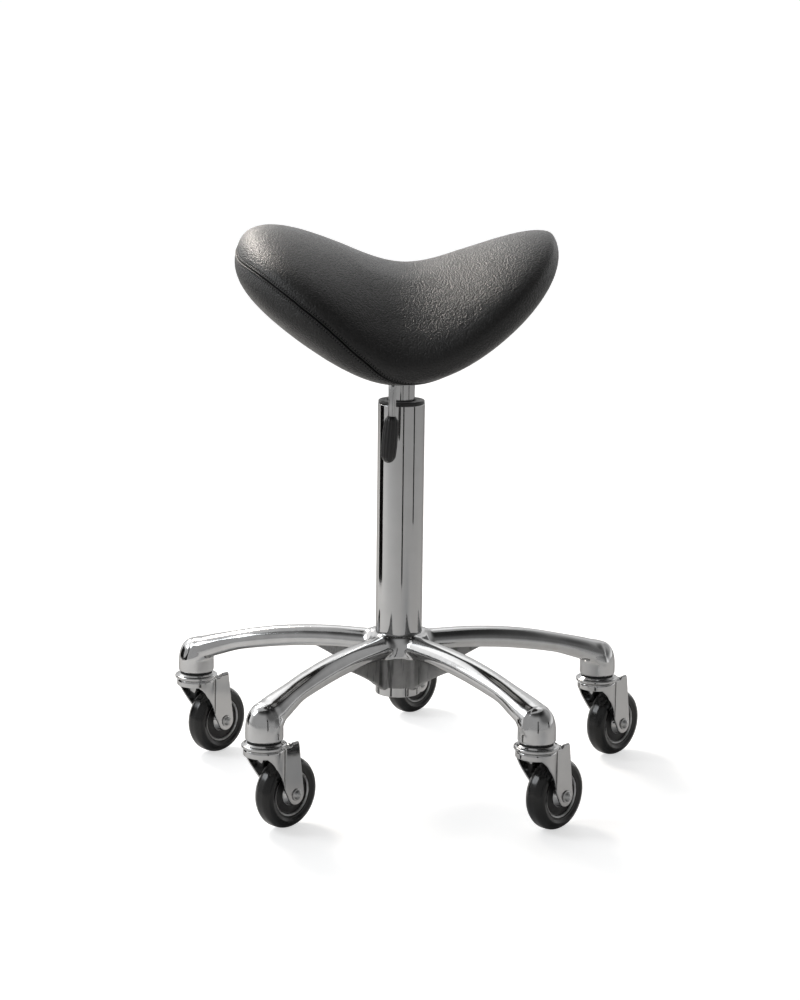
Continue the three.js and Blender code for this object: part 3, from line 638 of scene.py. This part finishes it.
def build_star(polish, raw):
    reach = SOCKET_CIRCLE + 24
    star = surface_of("star_polished", polished_field, (-reach, -reach, 96), (reach, reach, 170), 2.0)
    core = surface_of("star_core", core_field, (-102, -102, 105), (102, 102, 149), 1.2)
    bores = [(0, 0, 25.15, 90, 180)]
    sockets = [
        (SOCKET_CIRCLE * math.cos(a), SOCKET_CIRCLE * math.sin(a), 5.8, 90, 132) for a in arm_angles()
    ]
    bore(star, bores + sockets)
    bore(core, [(0, 0, 25.05, 90, 180)])
    field_shading(star, polished_field)
    field_shading(core, core_field)
    mark_unpolished(star)
    polish.on(star)
    raw.on(core)
    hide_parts("base_star")
    for thing in (star, core):
        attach(thing, "base")


# ---------------------------------------------------------------- gas lift


def build_lift(plate, plastic):
    tube = turned(
        "column_tube_fine",
        [(22.4, 97, 0.3), (24.4, 97, 0.8), (25, 150, 4), (25, 415, 0.7), (23, 415, 0.5), (23, 150, 4)],
        128,
    )
    bush = turned(
        "column_bush_fine",
        [(14.3, 330, 0.5), (22.7, 330, 0.5), (22.7, 415.3, 0.2), (24.7, 415.3, 0.3), (24.7, 418.5, 1.1),
         (16.4, 418.5, 0.3), (15.4, 417.3, 0.3), (14.3, 417.3, 0.2)],
        128,
    )
    cylinder = turned(
        "gas_cylinder_fine",
        [(0, 124), (14, 124, 1.2), (14, 440, 6), (13, 467, 0.8), (2.7, 468, 0.3), (2.7, 460), (0, 460)],
        128,
        closed=False,
    )
    plate.on(tube, cylinder)
    plastic.on(bush)
    for thing, node, slot, body in (
        (tube, "column_tube", "chrome", "base"),
        (bush, "column_bush", "black_plastic", "base"),
        (cylinder, "gas_cylinder", "chrome", "seat"),
    ):
        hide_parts(node)
        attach(thing, body)


# ---------------------------------------------------------------- casters


def polygon_distance(outline, x, y):
    """Signed distance to a closed outline, negative inside."""
    best = np.full(len(x), 1e9)
    inside = np.zeros(len(x), bool)
    for (ax, ay), (bx, by) in zip(outline, outline[1:] + outline[:1]):
        ex, ey = bx - ax, by - ay
        share = np.clip(((x - ax) * ex + (y - ay) * ey) / (ex * ex + ey * ey), 0, 1)
        best = np.minimum(best, np.hypot(x - ax - share * ex, y - ay - share * ey))
        crosses = (ay > y) != (by > y)
        with np.errstate(divide="ignore", invalid="ignore"):
            at = ax + (y - ay) * ex / (ey if ey else 1e-9)
        inside ^= crosses & (x < at)
    return np.where(inside, -best, best)


def fork_outline():
    """Side view of the fork: a short skirt in front, a hollow sweep and a round end on the axle."""
    end = 11
    outline = [(-30, 100), (-30, 84.2), (-12, 83.7)]
    for start, pull, stop in (((-12, 83.7), (-6.5, 79.5), (-2, 72)), ((-2, 72), (9, 57), (21.4, 32.2))):
        for t in np.linspace(0, 1, 9)[1:]:
            outline.append(tuple((1 - t) ** 2 * a + 2 * t * (1 - t) * b + t * t * c
                                 for a, b, c in zip(start, pull, stop)))
    for angle in np.linspace(math.pi * 1.17, math.pi * 2.03, 14):
        outline.append((TRAIL + end * math.cos(angle), WHEEL_RADIUS + end * math.sin(angle)))
    return outline + [(34.5, 96), (34.5, 100)]


FORK_OUTLINE = fork_outline()


def fork_field(points):
    """Pressed steel sheet: a round crown with a skirt, drawn into two flat legs."""
    x, y, z = points.T
    half, wall, crown, crown_top, ear_top = 16, 2.4, 21.5, 92, 94.3
    round_part = np.hypot(x, y) - crown
    flat_part = np.maximum(np.abs(y) - half, -x)
    top = z - crown_top - (ear_top - crown_top) * ease(x, 22, 4)
    outer = smooth_max(smooth_min(round_part, flat_part, 1.5), top, 4)
    sheet = smooth_max(outer, -(outer + wall), 0.7)
    behind = np.maximum(24.5 - x, np.abs(y) - (half - wall))
    sheet = smooth_max(sheet, -behind, 1.0)
    return smooth_max(sheet, polygon_distance(FORK_OUTLINE, x, z), 0.9)


def caster_place(number):
    spot = JOINTS[f"caster_{number}_swivel"]["pos_m"]
    return Matrix.Translation((spot[0], spot[1], 0)) @ Matrix.Rotation(HEADING, 4, "Z")


def wheel_place(number):
    """Pieces turned round Z lie on the wheel's axle, with +Z towards the axle's head."""
    hub = Matrix.Translation((TRAIL * MM, 0, WHEEL_RADIUS * MM))
    return caster_place(number) @ hub @ Matrix.Rotation(math.pi / 2, 4, "X")


def mirrored(half_profile):
    """A closed profile from its upper half, listed from the bore out to the rim."""
    return half_profile + [(radius, -height, *rest) for radius, height, *rest in reversed(half_profile)]


CASTER_PROFILES = {
    "race": [(5.8, 92.3), (23.5, 92.3, 0.9), (23.5, 95.4, 1.3), (20.6, 95.8, 1.5), (18.4, 97.6, 1.2),
             (5.8, 98.2)],
    # A thin black ring fills the gap between the race and the socket's foot.
    "seal": [(8, 97.9), (17.3, 97.0, 0.2), (17.8, 99.5, 0.3), (8, 99.5)],
    "tyre": mirrored([(24.2, 10.2, 0.4), (26.2, 10.6, 0.6), (29.5, 11.8, 2.5), (33.6, 10.8, 5),
                      (37.5, 5.2, 9)]),
    "hub": mirrored([(4.3, 12.6, 0.2), (9.0, 12.6, 0.4), (12.6, 8.2, 0.6), (20.6, 6.6, 1.2),
                     (24.0, 8.8, 0.5)]),
    "trim": [(21.6, 7.4), (22.4, 8.7, 0.3), (23.8, 9.9, 0.35), (24.1, 9.3, 0.2), (23.2, 7.6)],
    "cup": [(4.4, 13.2, 0.2), (9.4, 13.2, 1.2), (12.4, 9.4, 1.0), (13.4, 8.6, 0.3), (12.6, 8.0),
            (9.0, 12.5)],
    "axle": [(0, 21.2), (1.6, 21.0, 0.6), (4.2, 19.6, 1.4), (4.9, 17.4, 0.4), (6.3, 17.2, 0.3),
             (6.3, 16.2, 0.2), (4, 16.2), (4, -21.5, 0.6), (0, -21.5)],
}


def build_casters(finishes):
    plate, steel, tyre_skin, hub_skin, gap_ring_skin = finishes
    shapes = {"fork": surface_of("caster_fork", fork_field, (-24, -24, 24), (45, 24, 98), 0.9, Matrix())}
    for name, profile in CASTER_PROFILES.items():
        shapes[name] = turned(f"caster_{name}", profile, closed=name != "axle", place=Matrix())
    plate.on(shapes["fork"], shapes["race"], shapes["cup"])
    steel.on(shapes["axle"], shapes["trim"])
    tyre_skin.on(shapes["tyre"])
    hub_skin.on(shapes["hub"])
    gap_ring_skin.on(shapes["seal"])
    for number in range(1, ARMS + 1):
        name = f"caster_{number}_"
        upright, wheel = caster_place(number), wheel_place(number)
        for shape, node, slot, body, place in (
            ("fork", "fork", "chrome", "fork_", upright),
            ("race", "race", "chrome", "base", upright),
            ("seal", None, "black_plastic", "base", upright),
            ("tyre", "tyre", "tyre", "wheel_", wheel),
            ("hub", "core", "black_plastic", "wheel_", wheel),
            ("trim", None, "zinc_steel", "wheel_", wheel),
            ("cup", None, "chrome", "wheel_", wheel),
            ("axle", "axle", "zinc_steel", "fork_", wheel),
        ):
            thing = copy_object(f"{name}{shape}_fine", shapes[shape], place)
            if shape in ("trim", "cup"):
                turned_over = place @ Matrix.Rotation(math.pi, 4, "X")
                far = copy_object(f"{name}{shape}_far_fine", shapes[shape], turned_over)
                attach(far, f"{body}{number}")
            if node:
                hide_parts(name + node)
            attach(thing, body if body == "base" else f"{body}{number}")
    for thing in shapes.values():
        bpy.data.objects.remove(thing)


# ---------------------------------------------------------------- saddle

SADDLE = {
    "centre_x": -6.2,
    "centre_z": 528,
    "half_width": 168.7,
    "taper": 0.048,
    "rear": {"length": 168.8, "rise": 63.1, "wave": 1.377, "sweep": 0.52, "corner": 2.5},
    "front": {"length": 165.1, "rise": 78.7, "wave": 1.394, "sweep": 0.136, "corner": 2.83},
    "drop": 58.1,
    "drop_power": 1.72,
    "drop_twist": 0.152,
    "pad_up": 31.7,
    "pad_down": 49,
    "cantle_pad": 0.795,
    "cantle_lip": 0.163,
    "blend": 0.22,
    "round_up": 2.46,
    "round_down": 2.56,
    "recess_reach": 0.8,
    "recess_foot": -32,
    "recess_top": -21.7,
}
TUCK = -46  # degrees under the rim where the cover turns in to the board
SEAM_ROWS = [-9, -6.5, -5, -4.2, -3.6, -3, -2.4, -1.9, -1.5, -1.1, -0.8, -0.5, -0.25, 0, 0.25, 0.5, 0.8,
             1.1, 1.4, 1.8, 2.4, 3, 3.6, 4.2, 5, 6.5, 9]  # distances from the seam, in millimetres
STITCH_OFFSET = 3
STITCH_PITCH = 3


def by_end(rearward, key):
    return np.where(rearward, SADDLE["rear"][key], SADDLE["front"][key])


def saddle_middle(x, y):
    rearward = x < SADDLE["centre_x"]
    along = (x - SADDLE["centre_x"]) / by_end(rearward, "length")
    across = np.abs(y) / SADDLE["half_width"]
    phase = np.abs(along) / (by_end(rearward, "wave") * (1 - by_end(rearward, "sweep") * across ** 2))
    rise = by_end(rearward, "rise") / 2 * (1 - np.cos(math.pi * np.minimum(phase, 1.7)))
    drop = SADDLE["drop"] * across ** SADDLE["drop_power"] * (1 + SADDLE["drop_twist"] * along)
    return SADDLE["centre_z"] + rise - drop


def outline_reach(angle):
    corner = by_end(np.cos(angle) < 0, "corner")
    return (np.abs(np.cos(angle)) ** corner + np.abs(np.sin(angle)) ** corner) ** (-1 / corner)


def saddle_point(angle, share, height):
    """A point at a share of the way out to the saddle's outline, raised off its middle surface."""
    ahead = share * outline_reach(angle) * np.cos(angle)
    x = SADDLE["centre_x"] + ahead * by_end(ahead < 0, "length")
    y = share * outline_reach(angle) * np.sin(angle) * SADDLE["half_width"] * (1 - SADDLE["taper"] * ahead)
    slope_x = saddle_middle(x + 0.5, y) - saddle_middle(x - 0.5, y)
    slope_y = saddle_middle(x, y + 0.5) - saddle_middle(x, y - 0.5)
    normal = np.stack([-slope_x, -slope_y, np.ones_like(x)], -1)
    normal /= np.linalg.norm(normal, axis=-1, keepdims=True)
    return np.stack([x, y, saddle_middle(x, y)], -1) + normal * np.asarray(height)[..., None]


def saddle_skin(angle, tilt):
    """The skin at a tilt of 90 degrees over the middle of the top, 0 on the rim and less below it."""
    power = 2 / np.where(tilt >= 0, SADDLE["round_up"], SADDLE["round_down"])
    share = np.cos(np.radians(tilt)) ** power
    ahead = share * outline_reach(angle) * np.cos(angle)
    rearward = (np.hypot(ahead, SADDLE["blend"]) - ahead) / 2
    up = SADDLE["pad_up"] * (1 + SADDLE["cantle_pad"] * rearward)
    down = -SADDLE["pad_down"] * (1 + SADDLE["cantle_lip"] * rearward)
    height = np.abs(np.sin(np.radians(tilt))) ** power * np.where(tilt >= 0, up, down)
    return saddle_point(angle, share, height)


def seam_tilt(angle):
    """The seam follows the rim round the rear and slips under the saddle beside the column."""
    rim_stretch, dip_stretch, dip, hump = 78, 36, 34, 3
    from_rear = math.degrees(abs(angle - math.pi))
    raised = hump * math.exp(-(((from_rear - 40) / 13) ** 2))
    return raised - 0.8 - dip * ease(from_rear, rim_stretch, dip_stretch)


def skin_grid(columns, above, below):
    """Angles, and for each the tilts of its points and their distances from the seam."""
    angles = np.linspace(0, 2 * math.pi, columns, endpoint=False)
    fine = np.linspace(89.2, TUCK, 500)
    tilts, distances = [], []
    for angle in angles:
        line = saddle_skin(np.full(len(fine), angle), fine)
        length = np.concatenate([[0], np.cumsum(np.linalg.norm(np.diff(line, axis=0), axis=1))])
        seam = np.interp(-seam_tilt(angle), -fine, length)
        upper = np.linspace(-seam, SEAM_ROWS[0], above + 1)[:-1]
        lower = np.linspace(SEAM_ROWS[-1], length[-1] - seam, below + 1)[1:]
        offsets = np.concatenate([upper, SEAM_ROWS, lower])
        tilts.append(np.interp(seam + offsets, length, fine))
        distances.append(offsets)
    return angles, np.array(tilts).T, np.array(distances).T


def grid_normals(points):
    along = np.gradient(points, axis=0)
    across = np.roll(points, -1, 1) - np.roll(points, 1, 1)
    normals = np.cross(along, across)
    return normals / (np.linalg.norm(normals, axis=-1, keepdims=True) + 1e-12)


def closed_skin(name, skin, angles, place=None):
    """The skin with its turned-in foot against the board, closed on both sides."""
    top, reach = SADDLE["recess_top"], SADDLE["recess_reach"]
    inner = ((reach, SADDLE["recess_foot"]), (reach, -27), (reach, top), (0.5, top), (0.05, top))
    rings = [*skin, *(saddle_point(angles, share, np.full(len(angles), height)) for share, height in inner)]
    points = np.concatenate(rings + [rings[0].mean(0)[None], rings[-1].mean(0)[None]])
    count, last = len(angles), (len(rings) - 1) * len(angles)
    faces = ring_faces(len(rings), count)
    faces += [(len(points) - 2, (k + 1) % count, k) for k in range(count)]
    faces += [(len(points) - 1, last + k, last + (k + 1) % count) for k in range(count)]
    thing = new_object(name, points, faces, place=place)
    work = bmesh.new()
    work.from_mesh(thing.data)
    bmesh.ops.recalc_face_normals(work, faces=work.faces)
    work.to_mesh(thing.data)
    work.free()
    return thing


def cloth_swelling(skin, angles):
    """Inflates a slightly smaller copy of the cover as cloth held at the board, and returns where its
    points were and how far they moved."""
    shrink, most = 5, 24
    pad = closed_skin("cushion_cloth", skin - grid_normals(skin) * shrink, angles, Matrix())
    remesh = pad.modifiers.new("remesh", "REMESH")
    remesh.mode = "VOXEL"
    remesh.voxel_size = 6 * MM
    bake_modifiers(pad)
    rest = mesh_points(pad.data)
    under = rest[:, 2] < saddle_middle(rest[:, 0], rest[:, 1]) - 12
    board = np.hypot((rest[:, 0] - SADDLE["centre_x"]) / 128, rest[:, 1] / 128) < 1
    held = pad.vertex_groups.new(name="held")
    held.add(np.flatnonzero(under & board).tolist(), 1.0, "REPLACE")
    cloth = pad.modifiers.new("cloth", "CLOTH")
    cloth.settings.mass = 0.3
    cloth.settings.tension_stiffness = 20
    cloth.settings.compression_stiffness = 20
    cloth.settings.shear_stiffness = 10
    cloth.settings.bending_stiffness = 2
    cloth.settings.use_pressure = True
    cloth.settings.uniform_pressure_force = 4
    cloth.settings.vertex_group_mass = "held"
    cloth.settings.effector_weights.gravity = 0
    cloth.collision_settings.use_collision = False
    for step in range(1, 21):
        bpy.context.scene.frame_set(step)
    bake_modifiers(pad)
    moved = mesh_points(pad.data) - rest
    bpy.context.scene.frame_set(1)
    bpy.data.objects.remove(pad)
    length = np.linalg.norm(moved, axis=1, keepdims=True)
    return rest, moved * np.minimum(1, most / (length + 1e-9))


def softness(skin, angles):
    """How far the padding stands off the pattern's surface: the cloth's swelling less its mean."""
    every_row, every_column = 3, 8
    small = skin[::every_row, ::every_column]
    rest, moved = cloth_swelling(small, angles[::every_column])
    tree = KDTree(len(rest))
    for index, spot in enumerate(rest):
        tree.insert(spot, index)
    tree.balance()
    swell = np.zeros(small.shape[:2])
    normals = grid_normals(small)
    for row, column in np.ndindex(swell.shape):
        found = tree.find_n(small[row, column], 8)
        weights = np.array([1 / (distance + 3) ** 2 for _, _, distance in found])
        drift = np.array([moved[which] for _, which, _ in found])
        swell[row, column] = (drift @ normals[row, column] * weights).sum() / weights.sum()
    swell -= swell.mean()
    share, most = 0.3, 2.5
    swell = np.clip(swell * share, -most, most)
    full_rows, full_columns = np.arange(skin.shape[0]), np.arange(skin.shape[1])
    tall = np.stack([np.interp(full_rows, full_rows[::every_row], line) for line in swell.T], 1)
    known, around = full_columns[::every_column], skin.shape[1]
    wide = [np.interp(full_columns, known, line, period=around) for line in tall]
    return np.array(wide)


def seam_relief(distance):
    """The pulled-in seam, the rolled edge of the lower panel and the shallow stitch lines."""
    groove = -1.9 * np.exp(-((distance / 0.6) ** 2))
    rolled = 0.8 * np.exp(-(((distance - 1.4) / 0.8) ** 2)) + 0.3 * np.exp(-(((distance + 1.5) / 0.9) ** 2))
    stitched = -0.35 * np.exp(-(((np.abs(distance) - STITCH_OFFSET) / 0.7) ** 2))
    return groove + rolled + stitched


def seam_runs(line):
    """How far along the closed seam each point lies, counted in stitches, and their number."""
    steps = np.linalg.norm(np.diff(np.vstack([line, line[:1]]), axis=0), axis=1)
    reach = np.concatenate([[0], np.cumsum(steps)])
    count = round(reach[-1] / STITCH_PITCH)
    return reach / reach[-1] * count, count


def stitches(name, runs, count, lines):
    """Short threads laid end to end along each closed line of (points, normals)."""
    length, radius, sides = 2.1, 0.36, 6
    spans = [(-0.5, 0.15), (-0.36, 0.8), (0, 1), (0.36, 0.8), (0.5, 0.15)]
    points, faces = [], []
    for line, normals in lines:
        around = np.vstack([line, line[:1]])
        around_normals = np.vstack([normals, normals[:1]])
        for number in range(count):
            ends = (number + np.array([-0.3, 0.0, 0.3])) % count
            back, middle, on = np.stack([np.interp(ends, runs, around[:, k]) for k in range(3)], 1)
            up = np.array([np.interp(ends[1], runs, around_normals[:, k]) for k in range(3)])
            along = (on - back) / np.linalg.norm(on - back)
            side = np.cross(along, up)
            base = len(points)
            for shift, width in spans:
                for k in range(sides):
                    angle = 2 * math.pi * k / sides
                    round_it = side * math.cos(angle) + up * math.sin(angle)
                    points.append(middle + along * shift * length + (round_it * width + up * 0.1) * radius)
            faces += [tuple(base + index for index in face) for face in ring_faces(len(spans), sides)]
            faces.append(tuple(range(base + sides - 1, base - 1, -1)))
            end = base + (len(spans) - 1) * sides
            faces.append(tuple(range(end, end + sides)))
    return new_object(name, points, faces)


def mark_seam(thing, distances, runs):
    """Stores each point's distance from the seam and its place along it, for the cover's finish."""
    far = np.full(len(thing.data.vertices) - distances.size, 99.0)
    runs = np.broadcast_to(runs[:-1], distances.shape)
    for key, values in (("seam_offset", distances), ("seam_run", runs)):
        layer = thing.data.attributes.new(key, "FLOAT", "POINT")
        layer.data.foreach_set("value", np.concatenate([values.ravel(), far]).astype(np.float32))


def build_saddle(cover, thread, wood, steel):
    angles, tilts, distances = skin_grid(720, 60, 18)
    skin = saddle_skin(np.broadcast_to(angles, tilts.shape), tilts)
    normals = grid_normals(skin)
    if normals[0, 0, 2] < 0:
        normals = -normals
    relief = softness(skin, angles) + seam_relief(distances)
    skin = skin + normals * relief[..., None]
    seam_row, *rows = [list(distances[:, 0]).index(offset) for offset in (0, -STITCH_OFFSET, STITCH_OFFSET)]
    runs, count = seam_runs(skin[seam_row])
    cushion = closed_skin("seat_cushion_padded", skin, angles)
    mark_seam(cushion, distances, runs)
    cover.on(cushion)
    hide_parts("seat_cushion")
    threads = stitches("seat_stitching", runs, count, [(skin[row], normals[row]) for row in rows])
    thread.on(threads)
    for thing in (cushion, threads):
        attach(thing, "seat")
    wood.on(frame["nodes"]["seat_board"], frame["nodes"]["mounting_block"])
    names = ["seat_plate", "taper_socket", "lever_pin"] + [f"seat_bolt_{i}" for i in range(1, 5)]
    steel.on(*(frame["nodes"][name] for name in names))


# ---------------------------------------------------------------- lever


def build_lever(plate, plastic):
    grip_top, grip_foot = Vector((-11.5, -90, 416)), Vector((-14.8, -90, 367))
    knots = [(0, -27, 477.5), (-2, -45, 473), (-7, -74, 465), (-10, -87, 452), (-11, -90, 436)]
    path = curve_through([*knots, grip_top, grip_top.lerp(grip_foot, 0.6)], 70)
    bar = swept("lever_rod_fine", path, lambda share, angle: 4)
    boss = turned("lever_boss", [(2.5, -4.8), (5, -4.8, 0.5), (5, 4.8, 0.5), (2.5, 4.8)], 48)
    tongue = [(x, y, z) for x in (-3.5, 3.5) for y in (-24, 4) for z in (475, 479.5)]
    plank = new_object(
        "lever_tongue",
        tongue,
        [(0, 1, 3, 2), (4, 6, 7, 5), (0, 4, 5, 1), (2, 3, 7, 6), (0, 2, 6, 4), (1, 5, 7, 3)],
    )
    round_edges = plank.modifiers.new("edges", "BEVEL")
    round_edges.width = 0.6 * MM
    round_edges.segments = 3
    pivot = Vector((0, -24, 478)) * MM
    boss.matrix_world = Matrix.Translation(COLUMN + pivot) @ Matrix.Rotation(math.pi / 2, 4, "Y")

    def ridged(share, angle):
        waist = 6.1 + 1.7 * math.sin(math.pi * min(share * 0.95, 1)) ** 0.8
        end = math.sqrt(max(0.0, 1 - max(0.0, (share - 0.86) / 0.14) ** 2)) * 0.98 + 0.02
        start = math.sqrt(min(1, 0.45 + share * 7))
        ridges = 0.42 * math.cos(14 * angle) * min(1, share * 9, max(0.0, (0.93 - share) * 12))
        return (waist + ridges) * end * start

    count = 60
    shares = [1 - (1 - i / (count - 1)) ** 1.5 for i in range(count)]
    handle = [grip_top.lerp(grip_foot, share) for share in shares]
    radius_at = lambda part, angle: ridged(shares[round(part * (count - 1))], angle)
    grip = swept("lever_grip_fine", handle, radius_at, 112)
    plate.on(bar, boss, plank)
    plastic.on(grip)
    for thing, slot in ((bar, "chrome"), (boss, "chrome"), (plank, "chrome"), (grip, "black_plastic")):
        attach(thing, "lever")
    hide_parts("lever_rod")
    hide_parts("lever_grip")


# ---------------------------------------------------------------- light and floor


def area_light(name, spot, target, size, power, colour):
    data = bpy.data.lights.new(name, "AREA")
    data.shape = "RECTANGLE"
    data.size, data.size_y = size
    data.energy = power
    data.color = colour
    light = bpy.data.objects.new(name, data)
    bpy.context.scene.collection.objects.link(light)
    light.location = spot
    light.rotation_euler = (Vector(target) - Vector(spot)).to_track_quat("-Z", "Y").to_euler()
    return light


def studio():
    """A pale room, bright behind the stool and dim in front of it, with soft boxes behind and beside."""
    seat = (0, 0, 0.5)
    area_light("back_box", (-1.1, 1.7, 1.8), seat, (0.7, 0.7), 38, (1, 0.93, 0.85))
    area_light("left_box", (-2.0, -0.1, 1.7), seat, (0.9, 1.1), 15, (0.93, 0.97, 1))
    sun = bpy.data.lights.new("sky_panel", "SUN")
    sun.energy = 0.4
    sun.angle = math.radians(70)
    panel = bpy.data.objects.new("sky_panel", sun)
    bpy.context.scene.collection.objects.link(panel)
    panel.rotation_euler = Vector((0.25, -0.5, -1)).to_track_quat("-Z", "Y").to_euler()
    world = bpy.data.worlds.new("studio")
    bpy.context.scene.world = world
    world.use_nodes = True
    nodes, links = world.node_tree.nodes, world.node_tree.links
    direction = nodes.new("ShaderNodeTexCoord").outputs["Generated"]
    split = nodes.new("ShaderNodeSeparateXYZ")
    links.new(direction, split.inputs[0])

    def spread(value, start, end, low, high):
        made = nodes.new("ShaderNodeMapRange")
        made.interpolation_type = "SMOOTHSTEP"
        for key, number in zip(("From Min", "From Max", "To Min", "To Max"), (start, end, low, high)):
            made.inputs[key].default_value = number
        links.new(value, made.inputs["Value"])
        return made.outputs["Result"]

    def product(first, second):
        made = nodes.new("ShaderNodeMath")
        made.operation = "MULTIPLY"
        links.new(first, made.inputs[0])
        links.new(second, made.inputs[1])
        return made.outputs[0]

    depth = spread(split.outputs["Y"], -0.3, 0.5, 0.38, 1.2)
    ceiling = spread(split.outputs["Z"], 0.62, 0.92, 1.0, 0.12)
    right = spread(product(split.outputs["X"], split.outputs["Z"]), 0.02, 0.3, 1.0, 0.35)
    seen = nodes.new("ShaderNodeMix")
    links.new(nodes.new("ShaderNodeLightPath").outputs["Is Camera Ray"], seen.inputs[0])
    links.new(product(product(depth, ceiling), right), seen.inputs[2])
    seen.inputs[3].default_value = 1
    links.new(seen.outputs[0], nodes["Background"].inputs["Strength"])
    nodes["Background"].inputs["Color"].default_value = (1, 1, 1, 1)
    bpy.context.scene.view_settings.view_transform = "Standard"


def flags():
    """Dark cards beside the stool that show only in reflections."""
    paint = Finish("flag_cloth", Roughness=0.9, Specular_IOR_Level=0.1)
    weave = paint.noise(400.0)
    paint.give("Base Color", paint.mix(paint.spread(weave, 0.0, 1.0), grey(0.004), grey(0.012)))
    cards = ((-109, 850, 460, 20, 340), (11, 950, 100, 0, 500), (66, 900, 100, 100, 320))
    for number, (azimuth, away, width, foot, top) in enumerate(cards):
        turn = Matrix.Rotation(math.radians(azimuth), 4, "Z")
        left, right = -width / 2, width / 2
        points = [(left, -away, foot), (right, -away, foot), (right, -away, top), (left, -away, top)]
        card = new_object(f"flag_{number}", points, [(0, 1, 2, 3)], place=Matrix.Translation(COLUMN) @ turn)
        card.visible_camera = card.visible_diffuse = card.visible_shadow = False
        paint.on(card)


def floor():
    """A pale floor that glows white to the eye and stays grey in reflections."""
    reach = 400 / MM
    corners = [(-reach, -reach, 0), (reach, -reach, 0), (reach, reach, 0), (-reach, reach, 0)]
    ground = new_object("floor", corners, [(0, 1, 2, 3)], place=Matrix())
    paint = Finish("floor_paint", Roughness=0.6, Specular_IOR_Level=0.2)
    paint.shader.inputs["Base Color"].default_value = (0.72, 0.72, 0.72, 1)
    paint.shader.inputs["Emission Color"].default_value = (1, 1, 1, 1)
    seen = paint.node("ShaderNodeLightPath").outputs["Is Camera Ray"]
    paint.give("Emission Strength", paint.sum(seen, 0.6, "MULTIPLY"))
    paint.on(ground)


# ---------------------------------------------------------------- the scene

place_camera()
studio()
flags()
floor()
chrome_plate = chrome()
steel_plate = zinc_steel()
gloss_black = black_moulding("gloss_black", 0.006, 0.12, 0.26, 0.04)
satin_black = black_moulding("satin_black", 0.012, 0.34, 0.5, 0.2)
seal_black = black_moulding("seal_black", 0.01, 0.5, 0.7, 0.3)
thread_black = black_moulding("thread_black", 0.045, 0.35, 0.5, 0.5)
build_star(polished_aluminium(), raw_casting())
build_lift(chrome_plate, satin_black)
build_casters((chrome_plate, steel_plate, gloss_black, satin_black, seal_black))
build_saddle(leatherette(), thread_black, plywood(), steel_plate)
build_lever(chrome_plate, satin_black)
hidden_steel = ["lift_end_plate", "retaining_clip", "thrust_bearing", "valve_pin"]
hidden_steel += [f"caster_{i}_{piece}" for i in range(1, ARMS + 1) for piece in ("stem", "nut")]
steel_plate.on(*(frame["nodes"][name] for name in hidden_steel))
chrome_plate.on(frame["nodes"]["piston_rod"])
seal_black.on(frame["nodes"]["rubber_damper"])
